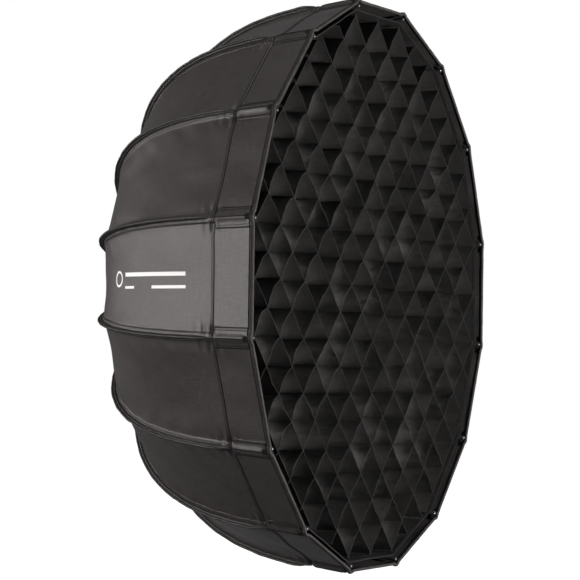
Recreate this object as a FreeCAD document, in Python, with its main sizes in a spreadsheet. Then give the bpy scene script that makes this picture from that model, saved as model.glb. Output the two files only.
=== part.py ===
import FreeCAD, Part
import math
import os

import Sketcher
from FreeCAD import Placement, Rotation, Vector

"""A sixteen-rib softbox that folds like an umbrella, in millimetres.

Frame: +Y is the mount axis and points to the rear, where the light goes; light leaves towards -Y; +Z is up.
The origin is the centre of the seat, the flat rear face of the insert that the light's own mount rests against.
Ribs are numbered from +Z towards +X, the first one half a pitch from +Z.
"""

# alias, value, meaning. Depths are distances forward of the seat, so Y is minus a depth.
SIZES = [
    ("rim_radius", 425.0, "axis to a corner of the rim, outside the cloth"),
    ("rib_count", 16, "ribs, and corners of the rim"),
    ("rib_lean", 7.25, "degrees between a rib and the axis at the rim"),
    ("bow_peak", 1.28, "exponent that moves the sharpest bend of a rib towards the hub"),
    ("cloth", 1.0, "canopy cloth with its lining"),
    ("gore_gap", 0.4, "gap between two neighbouring gores"),
    ("cloth_gap", 0.5, "cloth clear of a rib socket"),
    ("gore_standoff", 10.0, "inner edge of the canopy outside the hub"),
    ("rod_radius", 2.5, "rib rod"),
    ("rod_fit", 0.05, "radial room of a rod in its socket"),
    ("socket_depth", 26.0, "how far a rod goes into its socket"),
    ("tip_wall", 1.0, "rod tip cap outside the rod"),
    ("tip_length", 14.0, "rod tip cap"),
    ("tip_setback", 4.0, "rod tip behind the rim"),
    ("tip_gap", 1.2, "end of a rod short of the bottom of its cap"),
    ("bore_radius", 44.5, "clear bore through the insert"),
    ("insert_wall", 3.5, "insert tube outside its bore"),
    ("spigot_length", 11.0, "insert tube behind the seat"),
    ("flange_radius", 70.0, "seat flange of the insert"),
    ("flange_thickness", 4.0, "seat flange of the insert"),
    ("barrel_step", 3.7, "insert barrel, which the hub turns on, outside the insert tube"),
    ("barrel_fit", 0.05, "radial room of the barrel in the hub"),
    ("play", 0.3, "room beside a face that slides past another"),
    ("lug_reach", 5.0, "bayonet lug above the spigot"),
    ("lug_thickness", 3.5, "bayonet lug along the axis"),
    ("lug_arc", 40.0, "degrees that one lug covers"),
    ("lug_count", 3, "bayonet lugs"),
    ("collar_step", 4.0, "rear part of the hub inside its front part"),
    ("collar_length", 22.0, "rear part of the hub"),
    ("hub_rim", 8.0, "front part of the hub outside the hinge pins"),
    ("floor_wall", 5.4, "hub behind the slots, measured from its shoulder"),
    ("well_room", 0.5, "recess in the hub outside the ring nut"),
    ("ring_nut_wall", 6.8, "ring nut outside the barrel"),
    ("ring_nut_thickness", 4.2, "ring nut"),
    ("notch_width", 5.0, "spanner notch of the ring nut"),
    ("notch_depth", 2.5, "spanner notch of the ring nut"),
    ("notch_count", 4, "spanner notches of the ring nut"),
    ("pin_radius", 2.0, "hinge pin"),
    ("pin_hold", 5.0, "hinge pin beyond each side of its slot"),
    ("pin_fit", 0.05, "radial room of a hinge pin in an arm"),
    ("slot_width", 9.0, "slot for a rib arm"),
    ("slot_wall", 3.5, "hub between the recess and the slots"),
    ("slot_room", 3.5, "slot inward of a rib arm's eye"),
    ("eye_wall", 4.0, "rib arm round its pin"),
    ("socket_radius", 5.0, "outside of a rib socket"),
    ("tongue_half_height", 4.0, "rib arm between its eye and its socket, either side of the middle"),
    ("socket_standoff", 4.0, "inner end of a rib socket outside the hub"),
    ("socket_length", 31.0, "rib socket"),
    ("keeper_thickness", 4.0, "ring that keeps the hinge pins in"),
    ("keeper_step", 1.0, "bore of that ring outside the recess"),
    ("screw_radius", 1.5, "hub screw"),
    ("screw_length", 10.0, "hub screw under its head"),
    ("screw_head_radius", 2.75, "hub screw head"),
    ("screw_head_height", 2.0, "hub screw head"),
    ("drive_radius", 1.2, "drive recess of a hub screw"),
    ("drive_depth", 1.2, "drive recess of a hub screw"),
    ("screw_offset", 1.5, "hub screws outside the hinge pins"),
    ("screw_count", 8, "hub screws"),
    ("screw_fit", 0.02, "radial room of a screw or a pin in the hub"),
    ("knob_depth", 15.0, "thumb screw forward of the seat"),
    ("knob_shaft_radius", 3.0, "thumb screw"),
    ("knob_shaft_fit", 0.05, "radial room of the thumb screw in the hub"),
    ("knob_radius", 10.0, "thumb screw head"),
    ("knob_height", 17.0, "thumb screw head"),
    ("knob_bevel", 1.5, "bevel of the thumb screw head"),
    ("knob_standoff", 4.0, "thumb screw head clear of the hub"),
    ("knob_groove_radius", 2.4, "finger groove of the thumb screw"),
    ("knob_groove_count", 6, "finger grooves of the thumb screw"),
    ("cuff_overlap", 3.0, "cloth cuff beyond the mouths of the sockets"),
    ("cuff_thickness", 1.5, "cloth cuff"),
    ("cuff_gap", 2.0, "cuff clear of the canopy"),
    ("lip_depth", 65.0, "rim to the seam that the diffuser hooks to"),
    ("panel_clearance", 1.5, "diffuser and grid clear of the rods"),
    ("diffuser_thickness", 1.5, "front diffuser"),
    ("grid_depth", 44.0, "grid along the axis"),
    ("grid_setback", 7.0, "grid behind the rim"),
    ("band_thickness", 2.0, "band round the grid"),
    ("cell_side", 56.0, "side of a grid cell between the middles of its walls"),
    ("cell_wall", 1.2, "wall of a grid cell"),
    ("cell_turn", 45.0, "degrees that the cells are turned from upright"),
    ("baffle_radius", 262.0, "axis to a corner of the inner baffle"),
    ("baffle_setback", 172.0, "inner baffle behind the rim"),
    ("baffle_thickness", 1.5, "inner baffle"),
    ("strap_width", 12.0, "strap of the inner baffle"),
    ("strap_gap", 3.0, "end of a strap clear of its rod"),
    ("strap_count", 8, "straps of the inner baffle"),
    ("cutter_margin", 85.0, "cutting shapes beyond the rim"),
]

ARCS = 12  # tangent arcs that draw the bend of a rib
FULL_TURN = 360.0

# Radii that several pieces share, as expressions, from the axis outward.
SPIGOT = "(sizes.bore_radius + sizes.insert_wall)"
BARREL = f"({SPIGOT} + sizes.barrel_step)"
NUT_RADIUS = f"({BARREL} + sizes.ring_nut_wall)"
WELL = f"({NUT_RADIUS} + sizes.well_room)"
SLOT_START = f"({WELL} + sizes.slot_wall)"
EYE = "(sizes.pin_radius + sizes.eye_wall)"
PIN_CIRCLE = f"({SLOT_START} + sizes.slot_room + {EYE})"
SCREW_CIRCLE = f"({PIN_CIRCLE} + sizes.screw_offset)"
HUB_RADIUS = f"({PIN_CIRCLE} + sizes.hub_rim)"
COLLAR_RADIUS = f"({HUB_RADIUS} - sizes.collar_step)"
GORE_START = f"({HUB_RADIUS} + sizes.gore_standoff)"
SOCKET_START = f"({HUB_RADIUS} + sizes.socket_standoff)"
MOUTH = f"({SOCKET_START} + sizes.socket_length)"

# Other sizes that follow from the pieces they fit.
RIB_INSET = "(sizes.cloth + sizes.cloth_gap + sizes.socket_radius)"
TONGUE_WIDTH = "(sizes.slot_width - 2 * sizes.play)"
PIN_LENGTH = "(sizes.slot_width + 2 * sizes.pin_hold)"
TIP_RADIUS = "(sizes.rod_radius + sizes.tip_wall)"
SEAT_RADIUS = "(sizes.pin_radius + sizes.screw_fit)"

# Y of the faces that several pieces share, as expressions, from the rear forward.
HUB_REAR = "-(sizes.flange_thickness + sizes.play)"
SHOULDER = f"({HUB_REAR} - sizes.collar_length)"
SLOT_FLOOR = f"({SHOULDER} - sizes.floor_wall)"
PIN_Y = f"({SLOT_FLOOR} - sizes.play - {EYE})"
HUB_FRONT = f"({PIN_Y} - sizes.pin_radius)"
KEEPER_FRONT = f"({HUB_FRONT} - sizes.keeper_thickness)"
NUT_REAR = f"({SHOULDER} - sizes.play)"
NUT_FRONT = f"({NUT_REAR} - sizes.ring_nut_thickness)"


# ---------------------------------------------------------------- sizes and shared lines


def make_sheet(doc):
    """The spreadsheet of driving dimensions."""
    sheet = doc.addObject("Spreadsheet::Sheet", "sizes")
    for row, (alias, value, meaning) in enumerate(SIZES, 1):
        write_row(sheet, row, alias, value, meaning)
    doc.recompute()
    return sheet


def write_row(sheet, row, alias, value, meaning):
    sheet.set(f"A{row}", meaning)
    sheet.set(f"B{row}", str(value))
    sheet.setAlias(f"B{row}", alias)


class Bend:
    """A line in the plane X = 0 made of tangent arcs, rim first.

    spots are the ends and middles of the arcs in turn, and leans the angles there between line and axis.
    """

    def __init__(self, spots, leans):
        self.spots = spots
        self.leans = leans

    def arcs(self):
        """Edges of the arcs."""
        return [Part.Arc(*self.spots[n : n + 3]).toShape() for n in range(0, len(self.spots) - 1, 2)]

    def inset(self, distance):
        """The line moved square to itself, towards the inside of the canopy."""
        moved = [
            spot - Vector(0, math.sin(lean), math.cos(lean)) * distance
            for spot, lean in zip(self.spots, self.leans)
        ]
        return Bend(moved, self.leans)

    def flattened(self, share):
        """The line with its distance from the axis scaled, as in the middle of a flat panel."""
        return Bend([Vector(0, spot.y, spot.z * share) for spot in self.spots], self.leans)

    def radius_at(self, y):
        """Distance from the axis where the line passes y."""
        for low, high in zip(self.spots, self.spots[1:]):
            if y <= high.y:
                return low.z + (high.z - low.z) * (y - low.y) / (high.y - low.y)
        return self.spots[-1].z


class Lines:
    """What several pieces share and the sheet doesn't hold: the line of a rib and what follows from it."""

    def __init__(self, sheet):
        self.sheet = sheet
        self.pitch = FULL_TURN / self["rib_count"]
        self.flat_share = math.cos(math.radians(self.pitch / 2))
        self.pin_y = self.value(PIN_Y)
        self.outer = self.rib_bend()
        self.rim_y = self.outer.spots[0].y
        self.rod = self.outer.inset(self.value(RIB_INSET))

    def __getitem__(self, alias):
        return float(self.sheet.get(alias))

    def value(self, formula):
        """An expression in the sheet's names, worked out."""
        return float(self.sheet.evalExpression(formula.replace("sizes.", "")))

    def lean(self, share):
        """Angle between a rib and the axis, in radians, at a share of the bend from the rim."""
        start = self["rib_lean"]
        turned = math.sin(math.pi / 2 * share ** self["bow_peak"]) ** 2
        return math.radians(start + (90.0 - start) * turned)

    def rib_bend(self):
        """The outside of the cloth along a rib, from the rim to the mouth of its socket."""
        spots, leans = [Vector(0, 0, 0)], [self.lean(0)]
        for n in range(ARCS):
            first, last = self.lean(n / ARCS), self.lean((n + 1) / ARCS)
            middle, radius, start = (first + last) / 2, 1 / (last - first), spots[-1]
            for lean in (middle, last):
                run = Vector(0, math.sin(lean) - math.sin(first), math.cos(lean) - math.cos(first))
                spots.append(start + run * radius)
                leans.append(lean)
        scale = (self["rim_radius"] - self.value(MOUTH)) / -spots[-1].z
        mouth = Vector(0, self.pin_y + self.value(RIB_INSET), self.value(MOUTH))
        return Bend([mouth + (spot - spots[-1]) * scale for spot in spots], leans)

    def rib_angle(self, number):
        """Degrees from +Z towards +X of a rib."""
        return (number - 0.5) * self.pitch

    def panel_radius(self, y):
        """Axis to a corner of a flat panel that hangs inside the rods at y."""
        return self.rod.radius_at(y) - self["rod_radius"] - self["panel_clearance"]


def add_derived_sizes(sheet, lines):
    """Sizes that follow from the line of a rib, for the pieces that hang inside the canopy."""
    diffuser_y = lines.rim_y + lines["lip_depth"]
    grid_front = lines.rim_y + lines["grid_setback"]
    grid_rear = grid_front + lines["grid_depth"]
    baffle_y = lines.rim_y + lines["baffle_setback"]
    derived = [
        ("half_pitch", lines.pitch / 2, "degrees between a rib and the middle of a panel"),
        ("rim_y", lines.rim_y, "Y of the rim"),
        ("diffuser_radius", lines.panel_radius(diffuser_y), "axis to a corner of the diffuser"),
        ("band_front_radius", lines.panel_radius(grid_front), "axis to a front corner of the grid band"),
        ("band_rear_radius", lines.panel_radius(grid_rear), "axis to a rear corner of the grid band"),
        ("strap_reach", lines.panel_radius(baffle_y) - lines["strap_gap"], "axis to the end of a baffle strap"),
    ]
    for row, (alias, value, meaning) in enumerate(derived, len(SIZES) + 1):
        write_row(sheet, row, alias, round(value, 6), meaning)
    sheet.Document.recompute()


# ---------------------------------------------------------------- helpers


def about_axis(degrees):
    """A turn about the mount axis."""
    return Placement(Vector(), Rotation(Vector(0, 1, 0), degrees))


def new_body(doc, name):
    body = doc.addObject("PartDesign::Body", name)
    body.Label = name
    return body


def origin_feature(body, role):
    """One of a body's own origin planes or axes."""
    return next(feature for feature in body.Origin.OriginFeatures if feature.Role == role)


def attach(body, name, plane, depth="0", turn=Rotation()):
    """An empty sketch on an origin plane, moved along its normal by the expression depth and turned."""
    sketch = body.newObject("Sketcher::SketchObject", name)
    sketch.AttachmentSupport = (origin_feature(body, plane), [""])
    sketch.MapMode = "FlatFace"
    sketch.AttachmentOffset = Placement(Vector(), turn)
    sketch.setExpression("AttachmentOffset.Base.z", depth)
    return sketch


def bind_point(sketch, geometry, end, across, up):
    """Ties a point of a sketch to two expressions."""
    for kind, formula in (("DistanceX", across), ("DistanceY", up)):
        value = float(sketch.evalExpression(formula))
        number = sketch.addConstraint(Sketcher.Constraint(kind, -1, 1, geometry, end, value))
        sketch.setExpression(f"Constraints[{number}]", formula)


def outline(sketch, corners):
    """A closed outline of straight runs whose corners are pairs of expressions."""
    spots = [Vector(float(sketch.evalExpression(x)), float(sketch.evalExpression(y)), 0) for x, y in corners]
    for start, end in zip(spots, spots[1:] + spots[:1]):
        sketch.addGeometry(Part.LineSegment(start, end), False)
    for n, (across, up) in enumerate(corners):
        sketch.addConstraint(Sketcher.Constraint("Coincident", n, 2, (n + 1) % len(corners), 1))
        bind_point(sketch, n, 1, across, up)
    return sketch


def box_corners(left, right, low, high):
    return [(left, low), (right, low), (right, high), (left, high)]


def circle(sketch, across, up, radius):
    """A circle whose middle and radius are expressions."""
    size = float(sketch.evalExpression(radius))
    middle = Vector(float(sketch.evalExpression(across)), float(sketch.evalExpression(up)), 0)
    ring = sketch.addGeometry(Part.Circle(middle, Vector(0, 0, 1), size), False)
    number = sketch.addConstraint(Sketcher.Constraint("Radius", ring, size))
    sketch.setExpression(f"Constraints[{number}]", radius)
    bind_point(sketch, ring, 3, across, up)
    return sketch


def turned(body, name, sketch, angle="360"):
    """A solid of revolution about the sketch's upright axis."""
    feature = body.newObject("PartDesign::Revolution", name)
    feature.Profile = sketch
    feature.ReferenceAxis = (sketch, ["V_Axis"])
    feature.setExpression("Angle", angle)
    body.Document.recompute()
    return feature


def padded(body, name, sketch, length):
    """A pad to both sides of its sketch."""
    feature = body.newObject("PartDesign::Pad", name)
    feature.Profile = sketch
    feature.setExpression("Length", length)
    feature.Midplane = True
    body.Document.recompute()
    return feature


def cut(body, name, sketch, length, midplane=False, forward=False):
    """A pocket. It goes against the sketch's normal unless forward is set, and must take material away."""
    before = body.Shape.Volume
    feature = body.newObject("PartDesign::Pocket", name)
    feature.Profile = sketch
    feature.setExpression("Length", length)
    feature.Midplane = midplane
    feature.Reversed = forward
    body.Document.recompute()
    if body.Shape.Volume > before - 1e-3:
        raise RuntimeError(f"{body.Label}: {name} cuts nothing")
    return feature


def repeat_round(body, name, features, count, axis="Y_Axis"):
    """Repeats features evenly round an axis of the body."""
    pattern = body.newObject("PartDesign::PolarPattern", name)
    pattern.Originals = features
    pattern.Axis = (origin_feature(body, axis), [""])
    pattern.Angle = FULL_TURN
    pattern.setExpression("Occurrences", count)
    body.Tip = pattern
    body.Document.recompute()


def primitive(doc, kind, name, placement=None, **formulas):
    """A Part primitive with its sizes bound to expressions. Two underscores stand for a dot in a name."""
    solid = doc.addObject(kind, name)
    solid.Placement = placement or Placement()
    for prop, formula in formulas.items():
        solid.setExpression(prop.replace("__", "."), formula)
    return solid


def combine(doc, kind, name, **inputs):
    """A Part boolean of other objects."""
    result = doc.addObject(kind, name)
    for prop, value in inputs.items():
        setattr(result, prop, value)
    result.Label = name
    return result


def shape_feature(doc, name, shape, placement=None):
    """A sub-part whose shape is worked out with Part's functions."""
    feature = doc.addObject("Part::Feature", name)
    feature.Label = name
    feature.Shape = shape
    feature.Placement = placement or Placement()
    return feature


def facing_forward(lines):
    """Local +Z to -Y, with the local +X axis on a rib."""
    return Placement(Vector(), Rotation(Vector(0, 1, 0), lines.pitch / 2) * Rotation(Vector(1, 0, 0), 90))


# ---------------------------------------------------------------- mount


def make_bayonet_insert(doc):
    """Tube with a seat flange: three lugs lock in the light, and the hub turns on the barrel."""
    body = new_body(doc, "bayonet_insert")
    corners = [
        ("sizes.bore_radius", NUT_FRONT),
        (BARREL, NUT_FRONT),
        (BARREL, "-sizes.flange_thickness"),
        ("sizes.flange_radius", "-sizes.flange_thickness"),
        ("sizes.flange_radius", "0"),
        (SPIGOT, "0"),
        (SPIGOT, "sizes.spigot_length"),
        ("sizes.bore_radius", "sizes.spigot_length"),
    ]
    turned(body, "insert_tube", outline(attach(body, "tube_section", "XY_Plane"), corners))
    lug_corners = box_corners(
        "sizes.bore_radius + sizes.insert_wall / 2",
        f"{SPIGOT} + sizes.lug_reach",
        "sizes.spigot_length - sizes.lug_thickness",
        "sizes.spigot_length",
    )
    lug = turned(body, "lug", outline(attach(body, "lug_section", "XY_Plane"), lug_corners), "sizes.lug_arc")
    repeat_round(body, "lugs", [lug], "sizes.lug_count")


def make_retaining_ring(doc):
    """Ring nut on the barrel, which keeps the hub on the insert."""
    body = new_body(doc, "retaining_ring")
    section = box_corners(BARREL, NUT_RADIUS, NUT_FRONT, NUT_REAR)
    turned(body, "ring_nut", outline(attach(body, "nut_section", "XY_Plane"), section))
    notch_corners = box_corners(
        "-sizes.notch_width / 2",
        "sizes.notch_width / 2",
        f"{NUT_RADIUS} - sizes.notch_depth",
        f"{NUT_RADIUS} + sizes.notch_depth",
    )
    sketch = outline(attach(body, "notch_outline", "XZ_Plane", f"-{NUT_FRONT}"), notch_corners)
    notch = cut(body, "notch", sketch, "sizes.ring_nut_thickness / 2")
    repeat_round(body, "notches", [notch], "sizes.notch_count")


def make_rotation_lock_knob(doc):
    """Thumb screw through the hub's collar that presses on the barrel."""
    body = new_body(doc, "rotation_lock_knob")
    shaft_end = f"-({BARREL} + 2 * sizes.play)"
    head_start = f"-({COLLAR_RADIUS} + sizes.knob_standoff)"
    head_end = f"({head_start} - sizes.knob_height)"
    bevel = "sizes.knob_bevel"
    corners = [
        ("0", shaft_end),
        ("0", head_end),
        (f"sizes.knob_radius - {bevel}", head_end),
        ("sizes.knob_radius", f"{head_end} + {bevel}"),
        ("sizes.knob_radius", f"{head_start} - {bevel}"),
        (f"sizes.knob_radius - {bevel}", head_start),
        ("sizes.knob_shaft_radius", head_start),
        ("sizes.knob_shaft_radius", shaft_end),
    ]
    turned(body, "screw", outline(attach(body, "screw_section", "XZ_Plane"), corners))
    groove_sketch = circle(
        attach(body, "groove_outline", "XY_Plane", f"{head_end} - 1"),
        "sizes.knob_radius + sizes.knob_groove_radius / 2",
        "0",
        "sizes.knob_groove_radius",
    )
    groove = cut(body, "groove", groove_sketch, "sizes.knob_height + 2", forward=True)
    repeat_round(body, "grooves", [groove], "sizes.knob_groove_count", "Z_Axis")
    body.setExpression("Placement.Base.y", "-sizes.knob_depth")


# ---------------------------------------------------------------- hub


def arm_slots(body, lines, floor_y, length):
    """The slots that the rib arms swing in, open to the front, from floor_y."""
    corners = box_corners(
        "-sizes.slot_width / 2", "sizes.slot_width / 2", SLOT_START, f"{HUB_RADIUS} + sizes.slot_width"
    )
    turn = Rotation(Vector(0, 0, 1), -lines.pitch / 2)
    sketch = outline(attach(body, "slot_outline", "XZ_Plane", f"-{floor_y}", turn), corners)
    slot = cut(body, "slot", sketch, length, forward=True)
    repeat_round(body, "slots", [slot], "sizes.rib_count")


def screw_holes(body, length, forward):
    """Screw holes from the joint of hub and keeper ring, midway between rib slots."""
    sketch = circle(
        attach(body, "screw_hole_outline", "XZ_Plane", f"-{HUB_FRONT}"),
        "0",
        SCREW_CIRCLE,
        "sizes.screw_radius + sizes.screw_fit",
    )
    hole = cut(body, "screw_hole", sketch, length, forward=forward)
    repeat_round(body, "screw_holes", [hole], "sizes.screw_count")


def pin_seats(body, lines):
    """Round-bottomed grooves across the slots, open to the front, for the hinge pins."""
    turn = Rotation(Vector(1, 0, 0), lines.pitch / 2)
    bottom = circle(attach(body, "seat_bottom_outline", "YZ_Plane", "0", turn), PIN_Y, PIN_CIRCLE, SEAT_RADIUS)
    length = f"{PIN_LENGTH} + 2 * sizes.screw_fit"
    features = [cut(body, "seat_bottom", bottom, length, midplane=True)]
    corners = box_corners(
        f"{HUB_FRONT} - sizes.pin_radius",
        PIN_Y,
        f"{PIN_CIRCLE} - {SEAT_RADIUS}",
        f"{PIN_CIRCLE} + {SEAT_RADIUS}",
    )
    mouth = outline(attach(body, "seat_mouth_outline", "YZ_Plane", "0", turn), corners)
    features.append(cut(body, "seat_mouth", mouth, length, midplane=True))
    repeat_round(body, "seats", features, "sizes.rib_count")


def make_hub_ring(doc, lines):
    """Hub that turns on the barrel: a plain collar behind, and sixteen slots for the ribs in front."""
    body = new_body(doc, "hub_ring")
    bore = f"{BARREL} + sizes.barrel_fit"
    corners = [
        (bore, HUB_REAR),
        (COLLAR_RADIUS, HUB_REAR),
        (COLLAR_RADIUS, SHOULDER),
        (HUB_RADIUS, SHOULDER),
        (HUB_RADIUS, HUB_FRONT),
        (WELL, HUB_FRONT),
        (WELL, SHOULDER),
        (bore, SHOULDER),
    ]
    turned(body, "hub_turning", outline(attach(body, "hub_section", "XY_Plane"), corners))
    arm_slots(body, lines, SLOT_FLOOR, f"{SLOT_FLOOR} - {HUB_FRONT}")
    pin_seats(body, lines)
    screw_holes(body, "sizes.screw_length - sizes.keeper_thickness + sizes.play", forward=False)
    knob_hole = circle(
        attach(body, "knob_hole_outline", "XY_Plane"),
        "0",
        "-sizes.knob_depth",
        "sizes.knob_shaft_radius + sizes.knob_shaft_fit",
    )
    cut(body, "knob_hole", knob_hole, f"{COLLAR_RADIUS} + sizes.play")


def make_pin_keeper_ring(doc, lines):
    """Slotted ring on the front of the hub that keeps the hinge pins in their seats."""
    body = new_body(doc, "pin_keeper_ring")
    section = box_corners(f"{WELL} + sizes.keeper_step", HUB_RADIUS, KEEPER_FRONT, HUB_FRONT)
    turned(body, "keeper_turning", outline(attach(body, "keeper_section", "XY_Plane"), section))
    arm_slots(body, lines, HUB_FRONT, "sizes.keeper_thickness")
    screw_holes(body, "sizes.keeper_thickness", forward=True)


def make_hinge_pins(doc, lines):
    """Sixteen hinge pins, one across each slot."""
    length = lines.value(PIN_LENGTH)
    end = Vector(-length / 2, lines.pin_y, lines.value(PIN_CIRCLE))
    pin = Part.makeCylinder(lines["pin_radius"], length, end, Vector(1, 0, 0))
    pins = []
    for number in range(1, int(lines["rib_count"]) + 1):
        copy = pin.copy()
        copy.rotate(Vector(), Vector(0, 1, 0), lines.rib_angle(number))
        pins.append(copy)
    shape_feature(doc, "hinge_pins", Part.makeCompound(pins))


def make_hub_screws(doc, lines):
    """Eight screws through the keeper ring into the hub."""
    place = Vector(0, lines.value(KEEPER_FRONT), lines.value(SCREW_CIRCLE))
    shank = Part.makeCylinder(lines["screw_radius"], lines["screw_length"], place, Vector(0, 1, 0))
    head_height = lines["screw_head_height"]
    head = Part.makeCylinder(lines["screw_head_radius"], head_height, place, Vector(0, -1, 0))
    socket_centre = place - Vector(0, head_height, 0)
    socket = Part.makeCylinder(lines["drive_radius"], lines["drive_depth"], socket_centre, Vector(0, 1, 0))
    screw = shank.fuse(head).cut(socket).removeSplitter()
    count = int(lines["screw_count"])
    screws = []
    for number in range(count):
        copy = screw.copy()
        copy.rotate(Vector(), Vector(0, 1, 0), number * FULL_TURN / count)
        screws.append(copy)
    shape_feature(doc, "hub_screws", Part.makeCompound(screws))


def make_rear_collar(doc):
    """Cloth cuff on the hub that covers the rib sockets from behind."""
    body = new_body(doc, "rear_collar")
    front = f"({PIN_Y} + {RIB_INSET} + sizes.cuff_gap)"
    rear = f"({front} + sizes.cuff_thickness)"
    bore = f"{HUB_RADIUS} + sizes.play"
    section = box_corners(bore, f"{MOUTH} + sizes.cuff_overlap", front, rear)
    turned(body, "cuff", outline(attach(body, "cuff_section", "XY_Plane"), section))


# ---------------------------------------------------------------- ribs


def make_rib_arm(doc, lines, number):
    """Hinged socket: a tongue round its pin, then a tube that takes the rod."""
    body = new_body(doc, f"rib_arm_{number:02d}")
    half_height = "sizes.tongue_half_height"
    corners = box_corners(
        f"{PIN_Y} - {half_height}",
        f"{PIN_Y} + {half_height}",
        PIN_CIRCLE,
        f"{SOCKET_START} + sizes.socket_radius",
    )
    eye = circle(attach(body, "eye_outline", "YZ_Plane"), PIN_Y, PIN_CIRCLE, EYE)
    padded(body, "eye", eye, TONGUE_WIDTH)
    padded(body, "tongue", outline(attach(body, "tongue_outline", "YZ_Plane"), corners), TONGUE_WIDTH)
    tube = circle(attach(body, "tube_outline", "XY_Plane", SOCKET_START), "0", PIN_Y, "sizes.socket_radius")
    socket = body.newObject("PartDesign::Pad", "tube")
    socket.Profile = tube
    socket.setExpression("Length", "sizes.socket_length")
    doc.recompute()
    bore = circle(
        attach(body, "bore_outline", "XY_Plane", MOUTH),
        "0",
        PIN_Y,
        "sizes.rod_radius + sizes.rod_fit",
    )
    cut(body, "bore", bore, "sizes.socket_depth")
    pin_hole = circle(
        attach(body, "pin_hole_outline", "YZ_Plane"), PIN_Y, PIN_CIRCLE, "sizes.pin_radius + sizes.pin_fit"
    )
    cut(body, "pin_hole", pin_hole, "sizes.slot_width", midplane=True)
    body.Placement = about_axis(lines.rib_angle(number))


def trimmed(edge, length):
    """An edge without a length at its start."""
    start = edge.getParameterByLength(length)
    return edge.Curve.toShape(start, edge.LastParameter)


def swept(radius, edges):
    """A round bar along tangent edges."""
    first = edges[0]
    normal = first.tangentAt(first.FirstParameter)
    section = Part.Wire([Part.Circle(first.valueAt(first.FirstParameter), normal, radius).toShape()])
    return Part.Wire(edges).makePipeShell([section], True, True)


def rod_shape(lines):
    """A bowed rod with its tip cap, as two solids in the plane X = 0."""
    arcs = lines.rod.arcs()
    setback, cap_length = lines["tip_setback"], lines["tip_length"]
    mouth = lines.rod.spots[-1]
    bottom = mouth - Vector(0, 0, lines["socket_depth"] - lines["play"])
    arcs[0] = trimmed(arcs[0], setback + lines["tip_gap"])
    rod = swept(lines["rod_radius"], arcs + [Part.LineSegment(mouth, bottom).toShape()])
    cap_path = trimmed(lines.rod.arcs()[0], setback)
    cap_end = cap_path.getParameterByLength(cap_length)
    cap_path = cap_path.Curve.toShape(cap_path.FirstParameter, cap_end)
    cap_radius = lines.value(TIP_RADIUS)
    cap = swept(cap_radius, [cap_path])
    end = cap_path.valueAt(cap_path.FirstParameter)
    dome = Part.makeSphere(cap_radius, end)
    return Part.makeCompound([rod, cap.fuse(dome).cut(rod).removeSplitter()])


def gore_shape(lines):
    """The cloth of one rib, from the middle of one flat panel to the middle of the next."""
    start = lines.value(GORE_START) * lines.flat_share
    outer = lines.outer.flattened(lines.flat_share)
    inner = lines.outer.inset(lines["cloth"]).flattened(lines.flat_share)
    inner_spots = (Vector(0, outer.spots[-1].y, start), Vector(0, inner.spots[-1].y, start))
    edges = outer.arcs() + [Part.LineSegment(outer.spots[-1], inner_spots[0]).toShape()]
    edges.append(Part.LineSegment(*inner_spots).toShape())
    edges.append(Part.LineSegment(inner_spots[1], inner.spots[-1]).toShape())
    edges += inner.arcs()[::-1]
    edges.append(Part.LineSegment(inner.spots[0], outer.spots[0]).toShape())
    section = Part.Face(Part.Wire(Part.__sortEdges__(edges)))
    section.translate(Vector(-lines["gore_gap"] / 2, 0, 0))
    reach = lines["rim_radius"] + lines["cutter_margin"]
    panel = section.extrude(Vector(-reach, 0, 0))
    slope = math.tan(math.radians(lines.pitch / 2))
    front = lines.rim_y - reach
    corners = [Vector(0, front, 0), Vector(0, front, reach), Vector(-reach * slope, front, reach)]
    wedge = Part.Face(Part.makePolygon(corners + corners[:1])).extrude(Vector(0, 3 * reach, 0))
    half = panel.common(wedge)
    half.rotate(Vector(), Vector(0, 1, 0), lines.pitch / 2)
    return half.fuse(half.mirror(Vector(), Vector(1, 0, 0))).removeSplitter()


def make_ribs(doc, lines):
    """Arms, rods and gores, one of each for every rib."""
    rod, gore = rod_shape(lines), gore_shape(lines)
    for number in range(1, int(lines["rib_count"]) + 1):
        place = about_axis(lines.rib_angle(number))
        make_rib_arm(doc, lines, number)
        shape_feature(doc, f"rib_rod_{number:02d}", rod, place)
        shape_feature(doc, f"gore_{number:02d}", gore, place)


# ---------------------------------------------------------------- panels that hang in the canopy


def tapered_prism(doc, name, lines, front_radius, rear_radius, rear_y, front_y):
    """A solid between two regular polygons with a corner at each rib."""
    ends = []
    for end, radius, y in (("rear", rear_radius, rear_y), ("front", front_radius, front_y)):
        ends.append(
            primitive(
                doc,
                "Part::RegularPolygon",
                f"{name}_{end}",
                facing_forward(lines),
                Polygon="sizes.rib_count",
                Circumradius=radius,
                Placement__Base__y=y,
            )
        )
    loft = doc.addObject("Part::Loft", name)
    loft.Sections = ends
    loft.Solid = True
    loft.Ruled = True
    return loft


def grid_places():
    """Expressions for Y of the grid's front and rear."""
    front = "(sizes.rim_y + sizes.grid_setback)"
    return front, f"({front} + sizes.grid_depth)"


def make_grid_band(doc, lines):
    """Cloth band that follows the rim and carries the cells."""
    front, rear = grid_places()
    radii = ("sizes.band_front_radius", "sizes.band_rear_radius")
    outer = tapered_prism(doc, "band_outside", lines, *radii, rear, front)
    radii = [f"{radius} - sizes.band_thickness" for radius in radii]
    inner = tapered_prism(doc, "band_inside", lines, *radii, rear, front)
    combine(doc, "Part::Cut", "grid_band", Base=outer, Tool=inner)


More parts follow.
